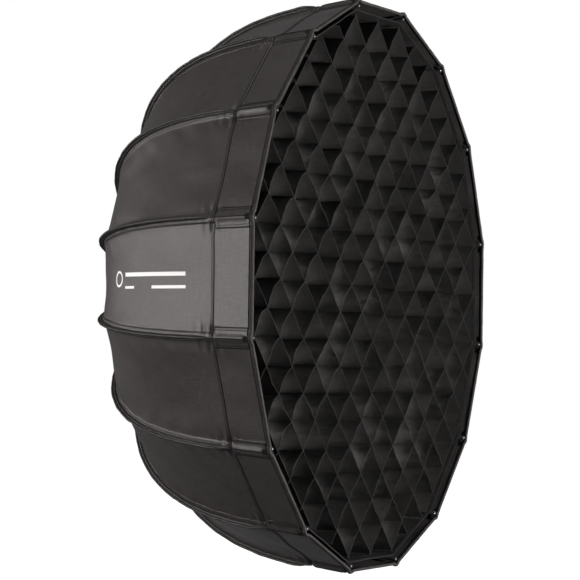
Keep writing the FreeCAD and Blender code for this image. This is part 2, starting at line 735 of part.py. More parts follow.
def make_grid_cells(doc, lines):
    """Egg-crate walls, cut to fit inside the band."""
    front, rear = grid_places()
    reach = lines["band_front_radius"]
    planks = []
    count = 2 * int(reach // lines["cell_side"]) + 1
    for turn in (0, 90):
        for n in range(count):
            place = f"({n - count // 2} * sizes.cell_side - sizes.cell_wall / 2)"
            plank = primitive(
                doc,
                "Part::Box",
                f"plank_{turn}_{n}",
                None,
                Length="2 * sizes.band_front_radius",
                Width="sizes.grid_depth",
                Height="sizes.cell_wall",
            )
            angle = f"(sizes.cell_turn + {turn})"
            plank.setExpression("Placement.Rotation.Axis.y", "1")
            plank.setExpression("Placement.Rotation.Axis.z", "0")
            plank.setExpression("Placement.Rotation.Angle", angle)
            across = "(-sizes.band_front_radius)"
            plank.setExpression("Placement.Base.x", f"{across} * cos({angle}) + {place} * sin({angle})")
            plank.setExpression("Placement.Base.y", front)
            plank.setExpression("Placement.Base.z", f"-{across} * sin({angle}) + {place} * cos({angle})")
            planks.append(plank)
    lattice = combine(doc, "Part::MultiFuse", "lattice", Shapes=planks)
    room = "(sizes.band_thickness + sizes.play)"
    inside = tapered_prism(
        doc,
        "cell_space",
        lines,
        f"sizes.band_front_radius - {room}",
        f"sizes.band_rear_radius - {room}",
        rear,
        front,
    )
    combine(doc, "Part::MultiCommon", "grid_cells", Shapes=[lattice, inside])


def make_front_diffuser(doc, lines):
    """Cloth diffuser hooked to the seam behind the lip."""
    panel = primitive(
        doc,
        "Part::Prism",
        "front_diffuser",
        facing_forward(lines),
        Polygon="sizes.rib_count",
        Circumradius="sizes.diffuser_radius",
        Height="sizes.diffuser_thickness",
        Placement__Base__y="sizes.rim_y + sizes.lip_depth",
    )
    panel.Label = "front_diffuser"


def make_inner_baffle(doc, lines):
    """Smaller cloth panel half-way down the canopy, hung from the rods by straps."""
    place = "sizes.rim_y + sizes.baffle_setback"
    panel = primitive(
        doc,
        "Part::Prism",
        "baffle_panel",
        facing_forward(lines),
        Polygon="sizes.rib_count",
        Circumradius="sizes.baffle_radius",
        Height="sizes.baffle_thickness",
        Placement__Base__y=place,
    )
    straps = []
    inner = "(sizes.baffle_radius - sizes.strap_width)"
    for n in range(int(lines["strap_count"])):
        angle = f"(sizes.half_pitch + {n} * 360 / sizes.strap_count)"
        strap = primitive(
            doc,
            "Part::Box",
            f"strap_{n}",
            None,
            Length="sizes.strap_width",
            Width="sizes.baffle_thickness",
            Height=f"sizes.strap_reach - {inner}",
        )
        strap.setExpression("Placement.Rotation.Axis.y", "1")
        strap.setExpression("Placement.Rotation.Axis.z", "0")
        strap.setExpression("Placement.Rotation.Angle", angle)
        side = "(-sizes.strap_width / 2)"
        strap.setExpression("Placement.Base.x", f"{side} * cos({angle}) + {inner} * sin({angle})")
        strap.setExpression("Placement.Base.y", f"{place} - sizes.baffle_thickness")
        strap.setExpression("Placement.Base.z", f"-{side} * sin({angle}) + {inner} * cos({angle})")
        straps.append(strap)
    combine(doc, "Part::MultiFuse", "inner_baffle", Shapes=[panel] + straps)


# ---------------------------------------------------------------- build and write


def node_names(count):
    """Every sub-part's label, which names its file."""
    singles = [
        "bayonet_insert",
        "retaining_ring",
        "rotation_lock_knob",
        "hub_ring",
        "pin_keeper_ring",
        "hinge_pins",
        "hub_screws",
        "rear_collar",
        "front_diffuser",
        "inner_baffle",
        "grid_band",
        "grid_cells",
    ]
    kinds = ("rib_arm", "rib_rod", "gore")
    return singles + [f"{kind}_{number:02d}" for kind in kinds for number in range(1, count + 1)]


def check_objects(doc):
    """Stops if any object of the document failed."""
    for thing in doc.Objects:
        if {"Invalid", "Error"} & set(thing.State):
            raise RuntimeError(f"{thing.Label} failed: {thing.State}")


def write_parts(doc, names):
    """Writes one STEP file for each sub-part, once all of them are sound."""
    shapes = {}
    for name in names:
        thing = doc.getObjectsByLabel(name)[0]
        if thing.Shape.isNull() or not thing.Shape.isValid() or not thing.Shape.Solids:
            raise RuntimeError(f"{name} has no sound solid")
        shapes[name] = thing.Shape
    os.makedirs("parts", exist_ok=True)
    for name, shape in shapes.items():
        shape.exportStep(os.path.join("parts", name + ".step"))


def main():
    doc = FreeCAD.newDocument("softbox")
    sheet = make_sheet(doc)
    lines = Lines(sheet)
    add_derived_sizes(sheet, lines)
    make_bayonet_insert(doc)
    make_retaining_ring(doc)
    make_rotation_lock_knob(doc)
    make_hub_ring(doc, lines)
    make_pin_keeper_ring(doc, lines)
    make_hinge_pins(doc, lines)
    make_hub_screws(doc, lines)
    make_rear_collar(doc)
    make_ribs(doc, lines)
    make_front_diffuser(doc, lines)
    make_inner_baffle(doc, lines)
    make_grid_band(doc, lines)
    make_grid_cells(doc, lines)
    doc.recompute()
    check_objects(doc)
    write_parts(doc, node_names(int(lines["rib_count"])))
    print(f"rim at y {lines.rim_y:.2f}, {len(doc.Objects)} objects")


main()
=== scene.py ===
"""Looks of a folding studio softbox: cloth, seams, grid and finishes round its fixed frame."""

import logging
import math
from dataclasses import dataclass, field, replace
from enum import Enum
from functools import cached_property
from typing import Any, Callable, Iterable, Sequence

import bpy
import numpy as np
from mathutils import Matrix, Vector


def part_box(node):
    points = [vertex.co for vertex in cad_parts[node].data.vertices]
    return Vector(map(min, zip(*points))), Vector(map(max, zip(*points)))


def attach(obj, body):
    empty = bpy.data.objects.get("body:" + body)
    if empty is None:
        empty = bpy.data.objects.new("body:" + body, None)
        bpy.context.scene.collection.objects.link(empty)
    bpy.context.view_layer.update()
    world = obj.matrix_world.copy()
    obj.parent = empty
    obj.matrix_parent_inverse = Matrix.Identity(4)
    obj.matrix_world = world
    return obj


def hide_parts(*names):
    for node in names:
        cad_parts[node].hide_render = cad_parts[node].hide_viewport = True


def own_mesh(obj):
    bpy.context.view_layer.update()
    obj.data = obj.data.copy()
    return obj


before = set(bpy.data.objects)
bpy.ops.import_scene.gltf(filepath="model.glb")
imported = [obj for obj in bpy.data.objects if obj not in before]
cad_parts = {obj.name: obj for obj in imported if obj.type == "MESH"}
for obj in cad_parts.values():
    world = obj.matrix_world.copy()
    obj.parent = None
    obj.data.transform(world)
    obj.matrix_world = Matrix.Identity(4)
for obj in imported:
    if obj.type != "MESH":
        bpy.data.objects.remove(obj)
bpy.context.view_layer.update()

LOG = logging.getLogger("softbox")
RIBS = 16
HALF = math.pi / RIBS
REAR = np.array([0.0, 1.0, 0.0])
UV_NAME = "cloth"
WHITE = (1.0, 1.0, 1.0, 1.0)


def spoke(angle: Any) -> np.ndarray:
    """Unit vector across the axis at an angle from up, one for each angle given."""
    angle = np.asarray(angle, float)
    return np.stack([np.sin(angle), np.zeros_like(angle), np.cos(angle)], -1)


def around(steps: int) -> tuple[np.ndarray, np.ndarray, np.ndarray]:
    """Places round a shape that has a corner at each rib and flat sides between.

    Args:
        steps: Places from one rib to the next.

    Returns:
        Each place's angle from up, its angle from the middle of its side, and its reach as a share
        of the corner's.
    """
    places = np.arange(RIBS * steps)
    angles = (places / steps - 0.5) * 2 * HALF
    within = (places % steps) / steps * 2 * HALF - HALF
    return angles, within, math.cos(HALF) / np.cos(within)


def rib_angle(rib: float) -> float:
    """Angle of a numbered rib."""
    return (rib - 0.5) * 2 * HALF


def smooth(low: float, high: float, value: Any) -> np.ndarray:
    """Smooth step from 0 at low to 1 at high."""
    share = np.clip((np.asarray(value, float) - low) / (high - low), 0.0, 1.0)
    return share * share * (3 - 2 * share)


def bell(value: Any, width: float) -> np.ndarray:
    """Rounded bump that is 1 at zero and dies away over a width."""
    return np.exp(-((np.asarray(value, float) / width) ** 2))


# ---------------------------------------------------------------- node trees


class Wire:
    """A node's output socket that can be used in sums, products and comparisons."""

    def __init__(self, graph: "Graph", socket: bpy.types.NodeSocket) -> None:
        """Keeps the socket and the graph it belongs to."""
        self.graph = graph
        self.socket = socket

    def maths(self, operation: str, *values: Any) -> "Wire":
        """One Math node on the given values."""
        return self.graph.wire("ShaderNodeMath", {"operation": operation}, dict(enumerate(values)))

    def __add__(self, other: Any) -> "Wire":
        """Sum."""
        return self.maths("ADD", self, other)

    def __radd__(self, other: Any) -> "Wire":
        """Sum with a number first."""
        return self.maths("ADD", other, self)

    def __sub__(self, other: Any) -> "Wire":
        """Difference."""
        return self.maths("SUBTRACT", self, other)

    def __rsub__(self, other: Any) -> "Wire":
        """Difference with a number first."""
        return self.maths("SUBTRACT", other, self)

    def __mul__(self, other: Any) -> "Wire":
        """Product."""
        return self.maths("MULTIPLY", self, other)

    def __rmul__(self, other: Any) -> "Wire":
        """Product with a number first."""
        return self.maths("MULTIPLY", other, self)

    def __truediv__(self, other: Any) -> "Wire":
        """Quotient."""
        return self.maths("DIVIDE", self, other)

    def __lt__(self, other: Any) -> "Wire":
        """1 where this is less."""
        return self.maths("LESS_THAN", self, other)

    def __gt__(self, other: Any) -> "Wire":
        """1 where this is more."""
        return self.maths("GREATER_THAN", self, other)

    def sine(self) -> "Wire":
        """Sine."""
        return self.maths("SINE", self)

    def root(self) -> "Wire":
        """Square root."""
        return self.maths("SQRT", self)

    def larger(self, other: Any) -> "Wire":
        """The larger of two values."""
        return self.maths("MAXIMUM", self, other)

    def size(self) -> "Wire":
        """Absolute value."""
        return self.maths("ABSOLUTE", self)

    def between(self, low: float, high: float) -> "Wire":
        """0 below low, 1 above high and a smooth ramp between."""
        sockets = {"Value": self, "From Min": low, "From Max": high}
        return self.graph.wire("ShaderNodeMapRange", {"interpolation_type": "SMOOTHSTEP"}, sockets)


class Graph:
    """A node tree that is filled by one method."""

    def __init__(self, tree: bpy.types.NodeTree) -> None:
        """Starts on a tree."""
        self.tree = tree

    def node(self, kind: str, settings: dict[str, Any], values: dict[Any, Any]) -> bpy.types.Node:
        """Adds a node.

        Args:
            kind: The node's type.
            settings: Its properties, set before its sockets.
            values: Socket names or numbers, with a value or a Wire for each.

        Returns:
            The node.
        """
        node = self.tree.nodes.new(kind)
        for name, value in settings.items():
            setattr(node, name, value)
        for key, value in values.items():
            if isinstance(value, Wire):
                self.tree.links.new(value.socket, node.inputs[key])
            else:
                node.inputs[key].default_value = value
        return node

    def wire(self, kind: str, settings: dict[str, Any], values: dict[Any, Any], output: Any = 0) -> Wire:
        """Adds a node as the method node does, and gives one of its outputs."""
        return Wire(self, self.node(kind, settings, values).outputs[output])


class Shader(Graph):
    """A material's nodes, with the patterns that several finishes share."""

    def __init__(self, name: str) -> None:
        """Starts an empty material.

        Args:
            name: The material's name.
        """
        self.material = bpy.data.materials.new(name)
        self.material.use_nodes = True
        super().__init__(self.material.node_tree)
        self.tree.nodes.clear()

    def place(self, on_cloth: bool) -> Wire:
        """Coordinates in metres.

        Args:
            on_cloth: Whether they lie on the flat cloth, or else in the frame.

        Returns:
            The place.
        """
        if on_cloth:
            return self.wire("ShaderNodeUVMap", {"uv_map": UV_NAME}, {})
        return self.wire("ShaderNodeTexCoord", {}, {}, "Object")

    def axes(self, place: Wire) -> tuple[Wire, Wire, Wire]:
        """The three numbers of a place."""
        split = self.node("ShaderNodeSeparateXYZ", {}, {0: place})
        return tuple(Wire(self, socket) for socket in split.outputs)

    def noise(self, place: Wire, scale: float, detail: float = 3.0) -> Wire:
        """Smooth noise from 0 to 1."""
        return self.wire("ShaderNodeTexNoise", {}, {"Vector": place, "Scale": scale, "Detail": detail})

    def stretched(self, place: Wire, scale: Sequence[float]) -> Wire:
        """A place with its axes scaled."""
        return self.wire("ShaderNodeMapping", {}, {"Vector": place, "Scale": scale})

    def mixed(self, share: Any, first: Any, second: Any) -> Wire:
        """Blend of two colours."""
        return self.wire("ShaderNodeMix", {"data_type": "RGBA"}, {0: share, 6: first, 7: second}, 2)

    def bumped(self, height: Wire, strength: float, distance: float) -> Wire:
        """Normal from a height."""
        return self.wire("ShaderNodeBump", {}, {"Height": height, "Strength": strength, "Distance": distance})

    def finish(self, **sockets: Any) -> bpy.types.Material:
        """Ends in one Principled shader.

        Args:
            sockets: Values by socket name, with an underscore for each space.

        Returns:
            The material.
        """
        values = {name.replace("_", " "): value for name, value in sockets.items()}
        surface = self.wire("ShaderNodeBsdfPrincipled", {}, values)
        self.node("ShaderNodeOutputMaterial", {}, {"Surface": surface})
        return self.material


# ---------------------------------------------------------------- finishes


def tone(value: tuple[float, float, float]) -> tuple[float, float, float, float]:
    """A colour with its alpha."""
    return (*value, 1.0)


@dataclass(frozen=True)
class Bar:
    """A printed bar: its middle and half length along the panel, and its middle and half width across."""

    middle: float
    half_length: float
    rise: float
    half_width: float


@dataclass(frozen=True)
class Woven:
    """Cloth in a plain weave, mottled by light wear.

    The print is a plain ring and bars in pale ink, on one panel of the canopy.
    """

    INK = (0.82, 0.82, 0.81)
    RING_PLACE = 0.262
    RING_RADII = (0.0085, 0.0115)
    BARS = (
        Bar(0.178, 0.064, 0.0060, 0.0028),
        Bar(0.230, 0.012, -0.0120, 0.0018),
        Bar(0.146, 0.032, -0.0120, 0.0022),
    )

    name: str
    colour: tuple[float, float, float]
    worn: tuple[float, float, float]
    roughness: float
    thread: float
    relief: float = 0.35
    sheen: float = 0.0
    metallic: float = 0.0
    on_cloth: bool = True
    printed_panel: int | None = None
    shine: float = 0.5

    def print_mask(self, shader: Shader, across: Wire, along: Wire) -> Wire:
        """Where the pale ink lies.

        Args:
            shader: The material's nodes; not used.
            across: Distance over the panel, offset by the panel's number.
            along: Distance from the rim.

        Returns:
            1 on the ink and 0 elsewhere.
        """
        height = across - self.printed_panel
        ahead = along - self.RING_PLACE
        reach = (ahead * ahead + height * height).root()
        inner, outer = self.RING_RADII
        mask = (reach < outer) * (reach > inner)
        for bar in self.BARS:
            on_length = (along - bar.middle).size() < bar.half_length
            on_width = (height - bar.rise).size() < bar.half_width
            mask = mask.larger(on_length * on_width)
        return mask

    def threads(self, shader: Shader, place: Wire, scale: Sequence[float]) -> Wire:
        """Noise drawn out along the threads, from the number of changes in a metre on each axis."""
        return shader.noise(shader.stretched(place, scale), 1.0, 2.0)

    def material(self) -> bpy.types.Material:
        """Builds the cloth.

        Returns:
            Its material.
        """
        shader = Shader(self.name)
        place = shader.place(self.on_cloth)
        across, deep, along = shader.axes(place)
        if self.on_cloth:
            along = deep
        turns = 2 * math.pi / self.thread
        weave = (across * turns).sine() * (along * turns).sine()
        mottle = shader.noise(place, 9.0, 4.0)
        grain = self.threads(shader, place, (900.0, 160.0, 900.0))
        warp = self.threads(shader, place, (420.0, 60.0, 420.0))
        weft = self.threads(shader, place, (60.0, 420.0, 60.0))
        slub = ((warp + weft) * 0.5).between(0.34, 0.66)
        share = mottle.between(0.3, 0.75) * 0.25 + slub * 0.75
        colour = shader.mixed(share, tone(self.colour), tone(self.worn))
        rough = self.roughness + (mottle - 0.5) * 0.14 + weave * 0.03
        if self.printed_panel is not None:
            ink = self.print_mask(shader, across, along)
            colour = shader.mixed(ink, colour, tone(self.INK))
            rough = rough + ink * 0.12
        normal = shader.bumped(weave * 0.5 + grain * 1.2, self.relief, self.thread * 0.25)
        return shader.finish(
            Base_Color=colour,
            Roughness=rough,
            Metallic=self.metallic,
            Normal=normal,
            Sheen_Weight=self.sheen,
            Sheen_Roughness=0.45,
            Specular_IOR_Level=self.shine,
        )


@dataclass(frozen=True)
class Trim(Woven):
    """Tape, thread or cloth of a piece without a flat cut, so that its weave lies on the frame's axes."""

    on_cloth: bool = False
    shine: float = 0.2


@dataclass(frozen=True)
class Glowing(Woven):
    """White diffusing cloth, which lets light through."""

    DEPTH = 0.01
    WEIGHT = 0.25

    def material(self) -> bpy.types.Material:
        """Builds the cloth and lets light pass through it.

        Returns:
            Its material.
        """
        material = super().material()
        surface = next(n for n in material.node_tree.nodes if n.type == "BSDF_PRINCIPLED")
        surface.inputs["Subsurface Weight"].default_value = self.WEIGHT
        surface.inputs["Subsurface Radius"].default_value = (self.DEPTH, self.DEPTH, self.DEPTH)
        return material


class Grain(Enum):
    """How a hard surface is marked."""

    TURNED = "fine rings round the axis"
    BRUSHED = "fine lines one way"
    SPECKLED = "powder coat or moulded texture"


@dataclass(frozen=True)
class Hard:
    """Metal or plastic with tool marks and rubbed patches."""

    RINGS = 9000.0
    BRUSHING = (1500.0, 1500.0, 60.0)
    SPECKS = 1400.0
    PATCHES = 55.0

    name: str
    colour: tuple[float, float, float]
    rubbed: tuple[float, float, float]
    metallic: float
    roughness: float
    grain: Grain
    coat: float = 0.0

    def marks(self, shader: Shader, place: Wire) -> Wire:
        """Height of the marks.

        Args:
            shader: The material's nodes.
            place: Place in the frame.

        Returns:
            The height, from about 0 to 1.
        """
        if self.grain is Grain.TURNED:
            across, _, up = shader.axes(place)
            radius = (across * across + up * up).root()
            return (radius * self.RINGS).sine() * 0.5 + shader.noise(place, 240.0)
        if self.grain is Grain.BRUSHED:
            return shader.noise(shader.stretched(place, self.BRUSHING), 1.0)
        return shader.noise(place, self.SPECKS, 2.0)

    def material(self) -> bpy.types.Material:
        """Builds the finish.

        Returns:
            Its material.
        """
        shader = Shader(self.name)
        place = shader.place(False)
        marks = self.marks(shader, place)
        patches = shader.noise(place, self.PATCHES, 5.0).between(0.56, 0.72)
        colour = shader.mixed(patches * 0.5, tone(self.colour), tone(self.rubbed))
        return shader.finish(
            Base_Color=colour,
            Roughness=self.roughness + patches * 0.12 + (marks - 0.5) * 0.08,
            Metallic=self.metallic,
            Normal=shader.bumped(marks, 0.25, 0.0002),
            Coat_Weight=self.coat,
        )


class Finishes:
    """Every material, built once and found by name."""

    CANOPY = Woven(
        "canopy_cloth", (0.0180, 0.0152, 0.0148), (0.0405, 0.0348, 0.0338), 0.43, 0.0011, sheen=0.04
    )
    WOVEN = (
        CANOPY,
        replace(CANOPY, name="canopy_printed", printed_panel=12),
        Woven("lip_lining", (0.010, 0.0098, 0.0096), (0.022, 0.0215, 0.021), 0.6, 0.0012, 0.3, shine=0.2),
        Woven("silver_lining", (0.55, 0.56, 0.57), (0.68, 0.69, 0.70), 0.38, 0.0012, 0.3, metallic=0.7),
        Trim("seam_cloth", (0.010, 0.0088, 0.0085), (0.026, 0.0232, 0.0226), 0.5, 0.0014, 0.5, shine=0.4),
        Trim("binding_tape", (0.014, 0.0130, 0.0125), (0.034, 0.032, 0.031), 0.62, 0.0016, 0.6),
        Trim("seam_thread", (0.004, 0.004, 0.004), (0.008, 0.008, 0.008), 0.7, 0.0006, 0.4),
        Trim("grid_cloth", (0.014, 0.0137, 0.0134), (0.024, 0.0235, 0.0230), 0.42, 0.0010),
        Woven("band_tape", (0.0055, 0.0054, 0.0053), (0.012, 0.0117, 0.0115), 0.62, 0.0014, 0.6, shine=0.2),
        Woven("cuff_cloth", (0.018, 0.0175, 0.017), (0.03, 0.029, 0.0285), 0.62, 0.0014, 0.5, 0.1),
        Woven("elastic_strap", (0.014, 0.014, 0.014), (0.03, 0.03, 0.03), 0.66, 0.0020, 0.8, 0.15),
    )
    GLOWING = (Glowing("diffuser_cloth", (0.78, 0.78, 0.77), (0.86, 0.86, 0.85), 0.72, 0.0009, 0.3, 0.1),)
    HARD = (
        Hard("insert_metal", (0.62, 0.62, 0.63), (0.72, 0.72, 0.72), 1.0, 0.30, Grain.TURNED),
        Hard("ring_metal", (0.035, 0.035, 0.037), (0.16, 0.16, 0.16), 0.6, 0.38, Grain.TURNED),
        Hard("hub_metal", (0.020, 0.020, 0.021), (0.055, 0.055, 0.056), 0.2, 0.42, Grain.SPECKLED, 0.15),
        Hard("rib_socket", (0.024, 0.024, 0.025), (0.08, 0.08, 0.08), 0.3, 0.40, Grain.SPECKLED, 0.1),
        Hard("rib_rod", (0.014, 0.014, 0.015), (0.035, 0.035, 0.036), 0.0, 0.30, Grain.BRUSHED, 0.4),
        Hard("pin_steel", (0.56, 0.56, 0.57), (0.70, 0.70, 0.70), 1.0, 0.26, Grain.BRUSHED),
        Hard("screw_steel", (0.50, 0.50, 0.51), (0.66, 0.66, 0.66), 1.0, 0.30, Grain.BRUSHED),
        Hard("knob_plastic", (0.016, 0.016, 0.017), (0.04, 0.04, 0.04), 0.0, 0.45, Grain.SPECKLED),
    )

    def __init__(self) -> None:
        """Builds them all."""
        finishes = (*self.WOVEN, *self.GLOWING, *self.HARD)
        self.materials = {finish.name: finish.material() for finish in finishes}

    def __getitem__(self, name: str) -> bpy.types.Material:
        """A material by its name."""
        return self.materials[name]


# ---------------------------------------------------------------- meshes


def link(name: str, data: bpy.types.ID) -> bpy.types.Object:
    """Puts a mesh, light or camera in the scene as an object at the origin.

    Args:
        name: The object's name.
        data: What it shows.

    Returns:
        The object.
    """
    holder = bpy.data.objects.new(name, data)
    bpy.context.scene.collection.objects.link(holder)
    return holder


def claim(piece: bpy.types.Object, body: str, solid: str) -> None:
    """Says what a piece rides on and which solid it replaces.

    Args:
        piece: The piece.
        body: The body that carries it.
        solid: The solid that it stands for.
    """
    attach(piece, body)
    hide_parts(solid)


@dataclass
class Layer:
    """One face of a cloth: points, normals, faces, and where each face's corners lie on the flat cut."""

    points: np.ndarray
    normals: np.ndarray
    faces: list[tuple[int, ...]]
    cuts: list[list[tuple[float, float]]]
    finishes: list[int] = field(default_factory=list)

    def area(self) -> float:
        """Adds up the faces.

        Returns:
            Their area.
        """
        total = 0.0
        for face in self.faces:
            corners = self.points[list(face)]
            for first, second in zip(corners[1:-1], corners[2:]):
                total += np.linalg.norm(np.cross(first - corners[0], second - corners[0])) / 2
        return float(total)

    def edge(self) -> list[tuple[int, int]]:
        """Edges with a face on one side only, in the faces' direction."""
        seen = {(a, b) for face in self.faces for a, b in zip(face, (*face[1:], face[0]))}
        return [(a, b) for a, b in seen if (b, a) not in seen]

    def build(self, name: str, thickness: float, materials: Sequence[bpy.types.Material]) -> bpy.types.Object:
        """Gives the cloth its thickness, inward from this face.

        Args:
            name: The piece's name.
            thickness: How thick the cloth is.
            materials: The finishes of this face, and last the one of the far side.

        Returns:
            The piece, closed all round.
        """
        count = len(self.points)
        rims = sorted(self.edge())
        outside = self.faces
        inside = [tuple(i + count for i in reversed(face)) for face in outside]
        walls = [(b, a, a + count, b + count) for a, b in rims]
        mesh = bpy.data.meshes.new(name)
        points = np.vstack([self.points, self.points - thickness * self.normals])
        mesh.from_pydata(points.tolist(), [], [*outside, *inside, *walls])
        for material in materials:
            mesh.materials.append(material)
        shares = self.finishes or [0] * len(outside)
        far = len(materials) - 1
        mesh.polygons.foreach_set("material_index", shares + [far] * len(inside) + [0] * len(walls))
        mesh.polygons.foreach_set("use_smooth", [True] * len(mesh.polygons))
        where = {point: cut for face, cuts in zip(outside, self.cuts) for point, cut in zip(face, cuts)}
        corners = [cut for cuts in self.cuts for cut in cuts]
        corners += [cut for cuts in self.cuts for cut in reversed(cuts)]
        corners += [where[i % count] for wall in walls for i in wall]
        layer = mesh.uv_layers.new(name=UV_NAME)
        layer.data.foreach_set("uv", np.array(corners, float).ravel())
        mesh.update()
        normals = [tuple(self.normals[i]) for face in outside for i in face]
        normals += [tuple(-self.normals[i - count]) for face in inside for i in face]
        first_wall = len(outside) + len(inside)
        for number, wall in enumerate(walls):
            normals += [tuple(mesh.polygons[first_wall + number].normal)] * len(wall)
        mesh.normals_split_custom_set(normals)
        return link(name, mesh)


def lattice(
    points: np.ndarray,
    cuts: np.ndarray,
    normals: np.ndarray | None = None,
    ring: bool = False,
    outward: Callable[[np.ndarray], np.ndarray] | None = None,
) -> Layer:
    """Faces between rows and columns of points.

    Args:
        points: Rows by columns by three.
        cuts: Rows by columns by two, and by two again where a face takes its own side's values.
        normals: As the points, or None to work them out.
        ring: Whether the last column joins the first.
        outward: Gives the rough outward direction at a point.

    Returns:
        The layer, with its faces turned outward.
    """
    rows, columns = points.shape[:2]
    if normals is None:
        if ring:
            wrapped = np.concatenate([points[:, -1:], points, points[:, :1]], 1)
            normals = np.cross(np.gradient(wrapped, axis=0), np.gradient(wrapped, axis=1))[:, 1:-1]
        else:
            normals = np.cross(np.gradient(points, axis=0), np.gradient(points, axis=1))
        normals = normals / np.linalg.norm(normals, axis=2, keepdims=True)
        if outward is not None:
            flip = np.sum(normals * outward(points), axis=2, keepdims=True) < 0
            normals = np.where(flip, -normals, normals)
    flat_points = points.reshape(-1, 3)
    flat_normals = normals.reshape(-1, 3)
    faces, marks = [], []
    for i in range(rows - 1):
        for j in range(columns if ring else columns - 1):
            k = (j + 1) % columns
            side = 0 if cuts.ndim == 3 else int(j >= columns // 2)
            corners = [(i, j), (i, k), (i + 1, k), (i + 1, j)]
            face = [row * columns + column for row, column in corners]
            pick = [tuple(cuts[c] if cuts.ndim == 3 else cuts[c][side]) for c in corners]
            a, b, c = (flat_points[n] for n in face[:3])
            if np.dot(np.cross(b - a, c - b), flat_normals[face].sum(0)) < 0:
                face.reverse()
                pick.reverse()
            faces.append(tuple(face))
            marks.append(pick)
    return Layer(flat_points, flat_normals, faces, marks)


def disc(
    radii: Sequence[float],
    y: Callable[[np.ndarray, np.ndarray], np.ndarray],
    steps: int,
    edge_rings: int,
) -> Layer:
    """A flat panel with a corner at each rib, facing forward.

    Args:
        radii: Corner radius of each ring, from the middle outward.
        y: Place along the axis, from the radius and the angle.
        steps: Points between two ribs.
        edge_rings: How many outer rings have the second finish.

    Returns:
        The layer.
    """
    columns = RIBS * steps
    angles, _, corner = around(steps)
    points = [[0.0, float(y(np.array(0.0), np.array(0.0))), 0.0]]
    for radius in radii:
        reach = radius * corner
        ring = reach[:, None] * spoke(angles)
        ring[:, 1] = y(reach, angles)
        points.extend(ring.tolist())
    points = np.array(points)
    faces, finishes = [], []
    for ring in range(len(radii)):
        for j in range(columns):
            k = (j + 1) % columns
            if ring == 0:
                faces.append((0, 1 + j, 1 + k))
            else:
                low, high = 1 + (ring - 1) * columns, 1 + ring * columns
                faces.append((low + j, high + j, high + k, low + k))
            finishes.append(int(ring >= len(radii) - edge_rings))
    a, b, c = (points[n] for n in faces[0])
    if np.cross(b - a, c - a)[1] > 0:
        faces = [tuple(reversed(face)) for face in faces]
    normals = np.zeros_like(points)
    for face in faces:
        a, b, c = (points[n] for n in face[:3])
        normals[list(face)] += np.cross(b - a, c - a)
    normals /= np.linalg.norm(normals, axis=1, keepdims=True)
    cuts = [[(points[n][0], points[n][2]) for n in face] for face in faces]
    return Layer(points, normals, faces, cuts, finishes)


def paths_mesh(name: str, paths: Iterable[np.ndarray], girths: Iterable[Any]) -> bpy.types.Object:
    """Lines to grow seams and stitches on.

    Args:
        name: The mesh's name.
        paths: The points of each line.
        girths: The girth of each line, even or for each point.

    Returns:
        The lines, as edges that carry their girth.
    """
    points, edges, girth = [], [], []
    for path, width in zip(paths, girths):
        start = len(points)
        points.extend(path.tolist())
        edges.extend((start + i, start + i + 1) for i in range(len(path) - 1))
        girth.extend(np.broadcast_to(width, len(path)).tolist())
    mesh = bpy.data.meshes.new(name)
    mesh.from_pydata(points, edges, [])
    mesh.attributes.new("girth", "FLOAT", "POINT").data.foreach_set("value", girth)
    return link(name, mesh)


def joined(name: str, parts: list[bpy.types.Object]) -> bpy.types.Object:
    """Makes one piece of several, each keeping its finishes.

    Args:
        name: The new piece's name.
        parts: The pieces, of which the first takes in the others.

    Returns:
        The piece.
    """
    with bpy.context.temp_override(active_object=parts[0], object=parts[0], selected_editable_objects=parts):
        bpy.ops.object.join()
    parts[0].name = name
    parts[0].data.name = name
    return parts[0]


# ---------------------------------------------------------------- geometry trees


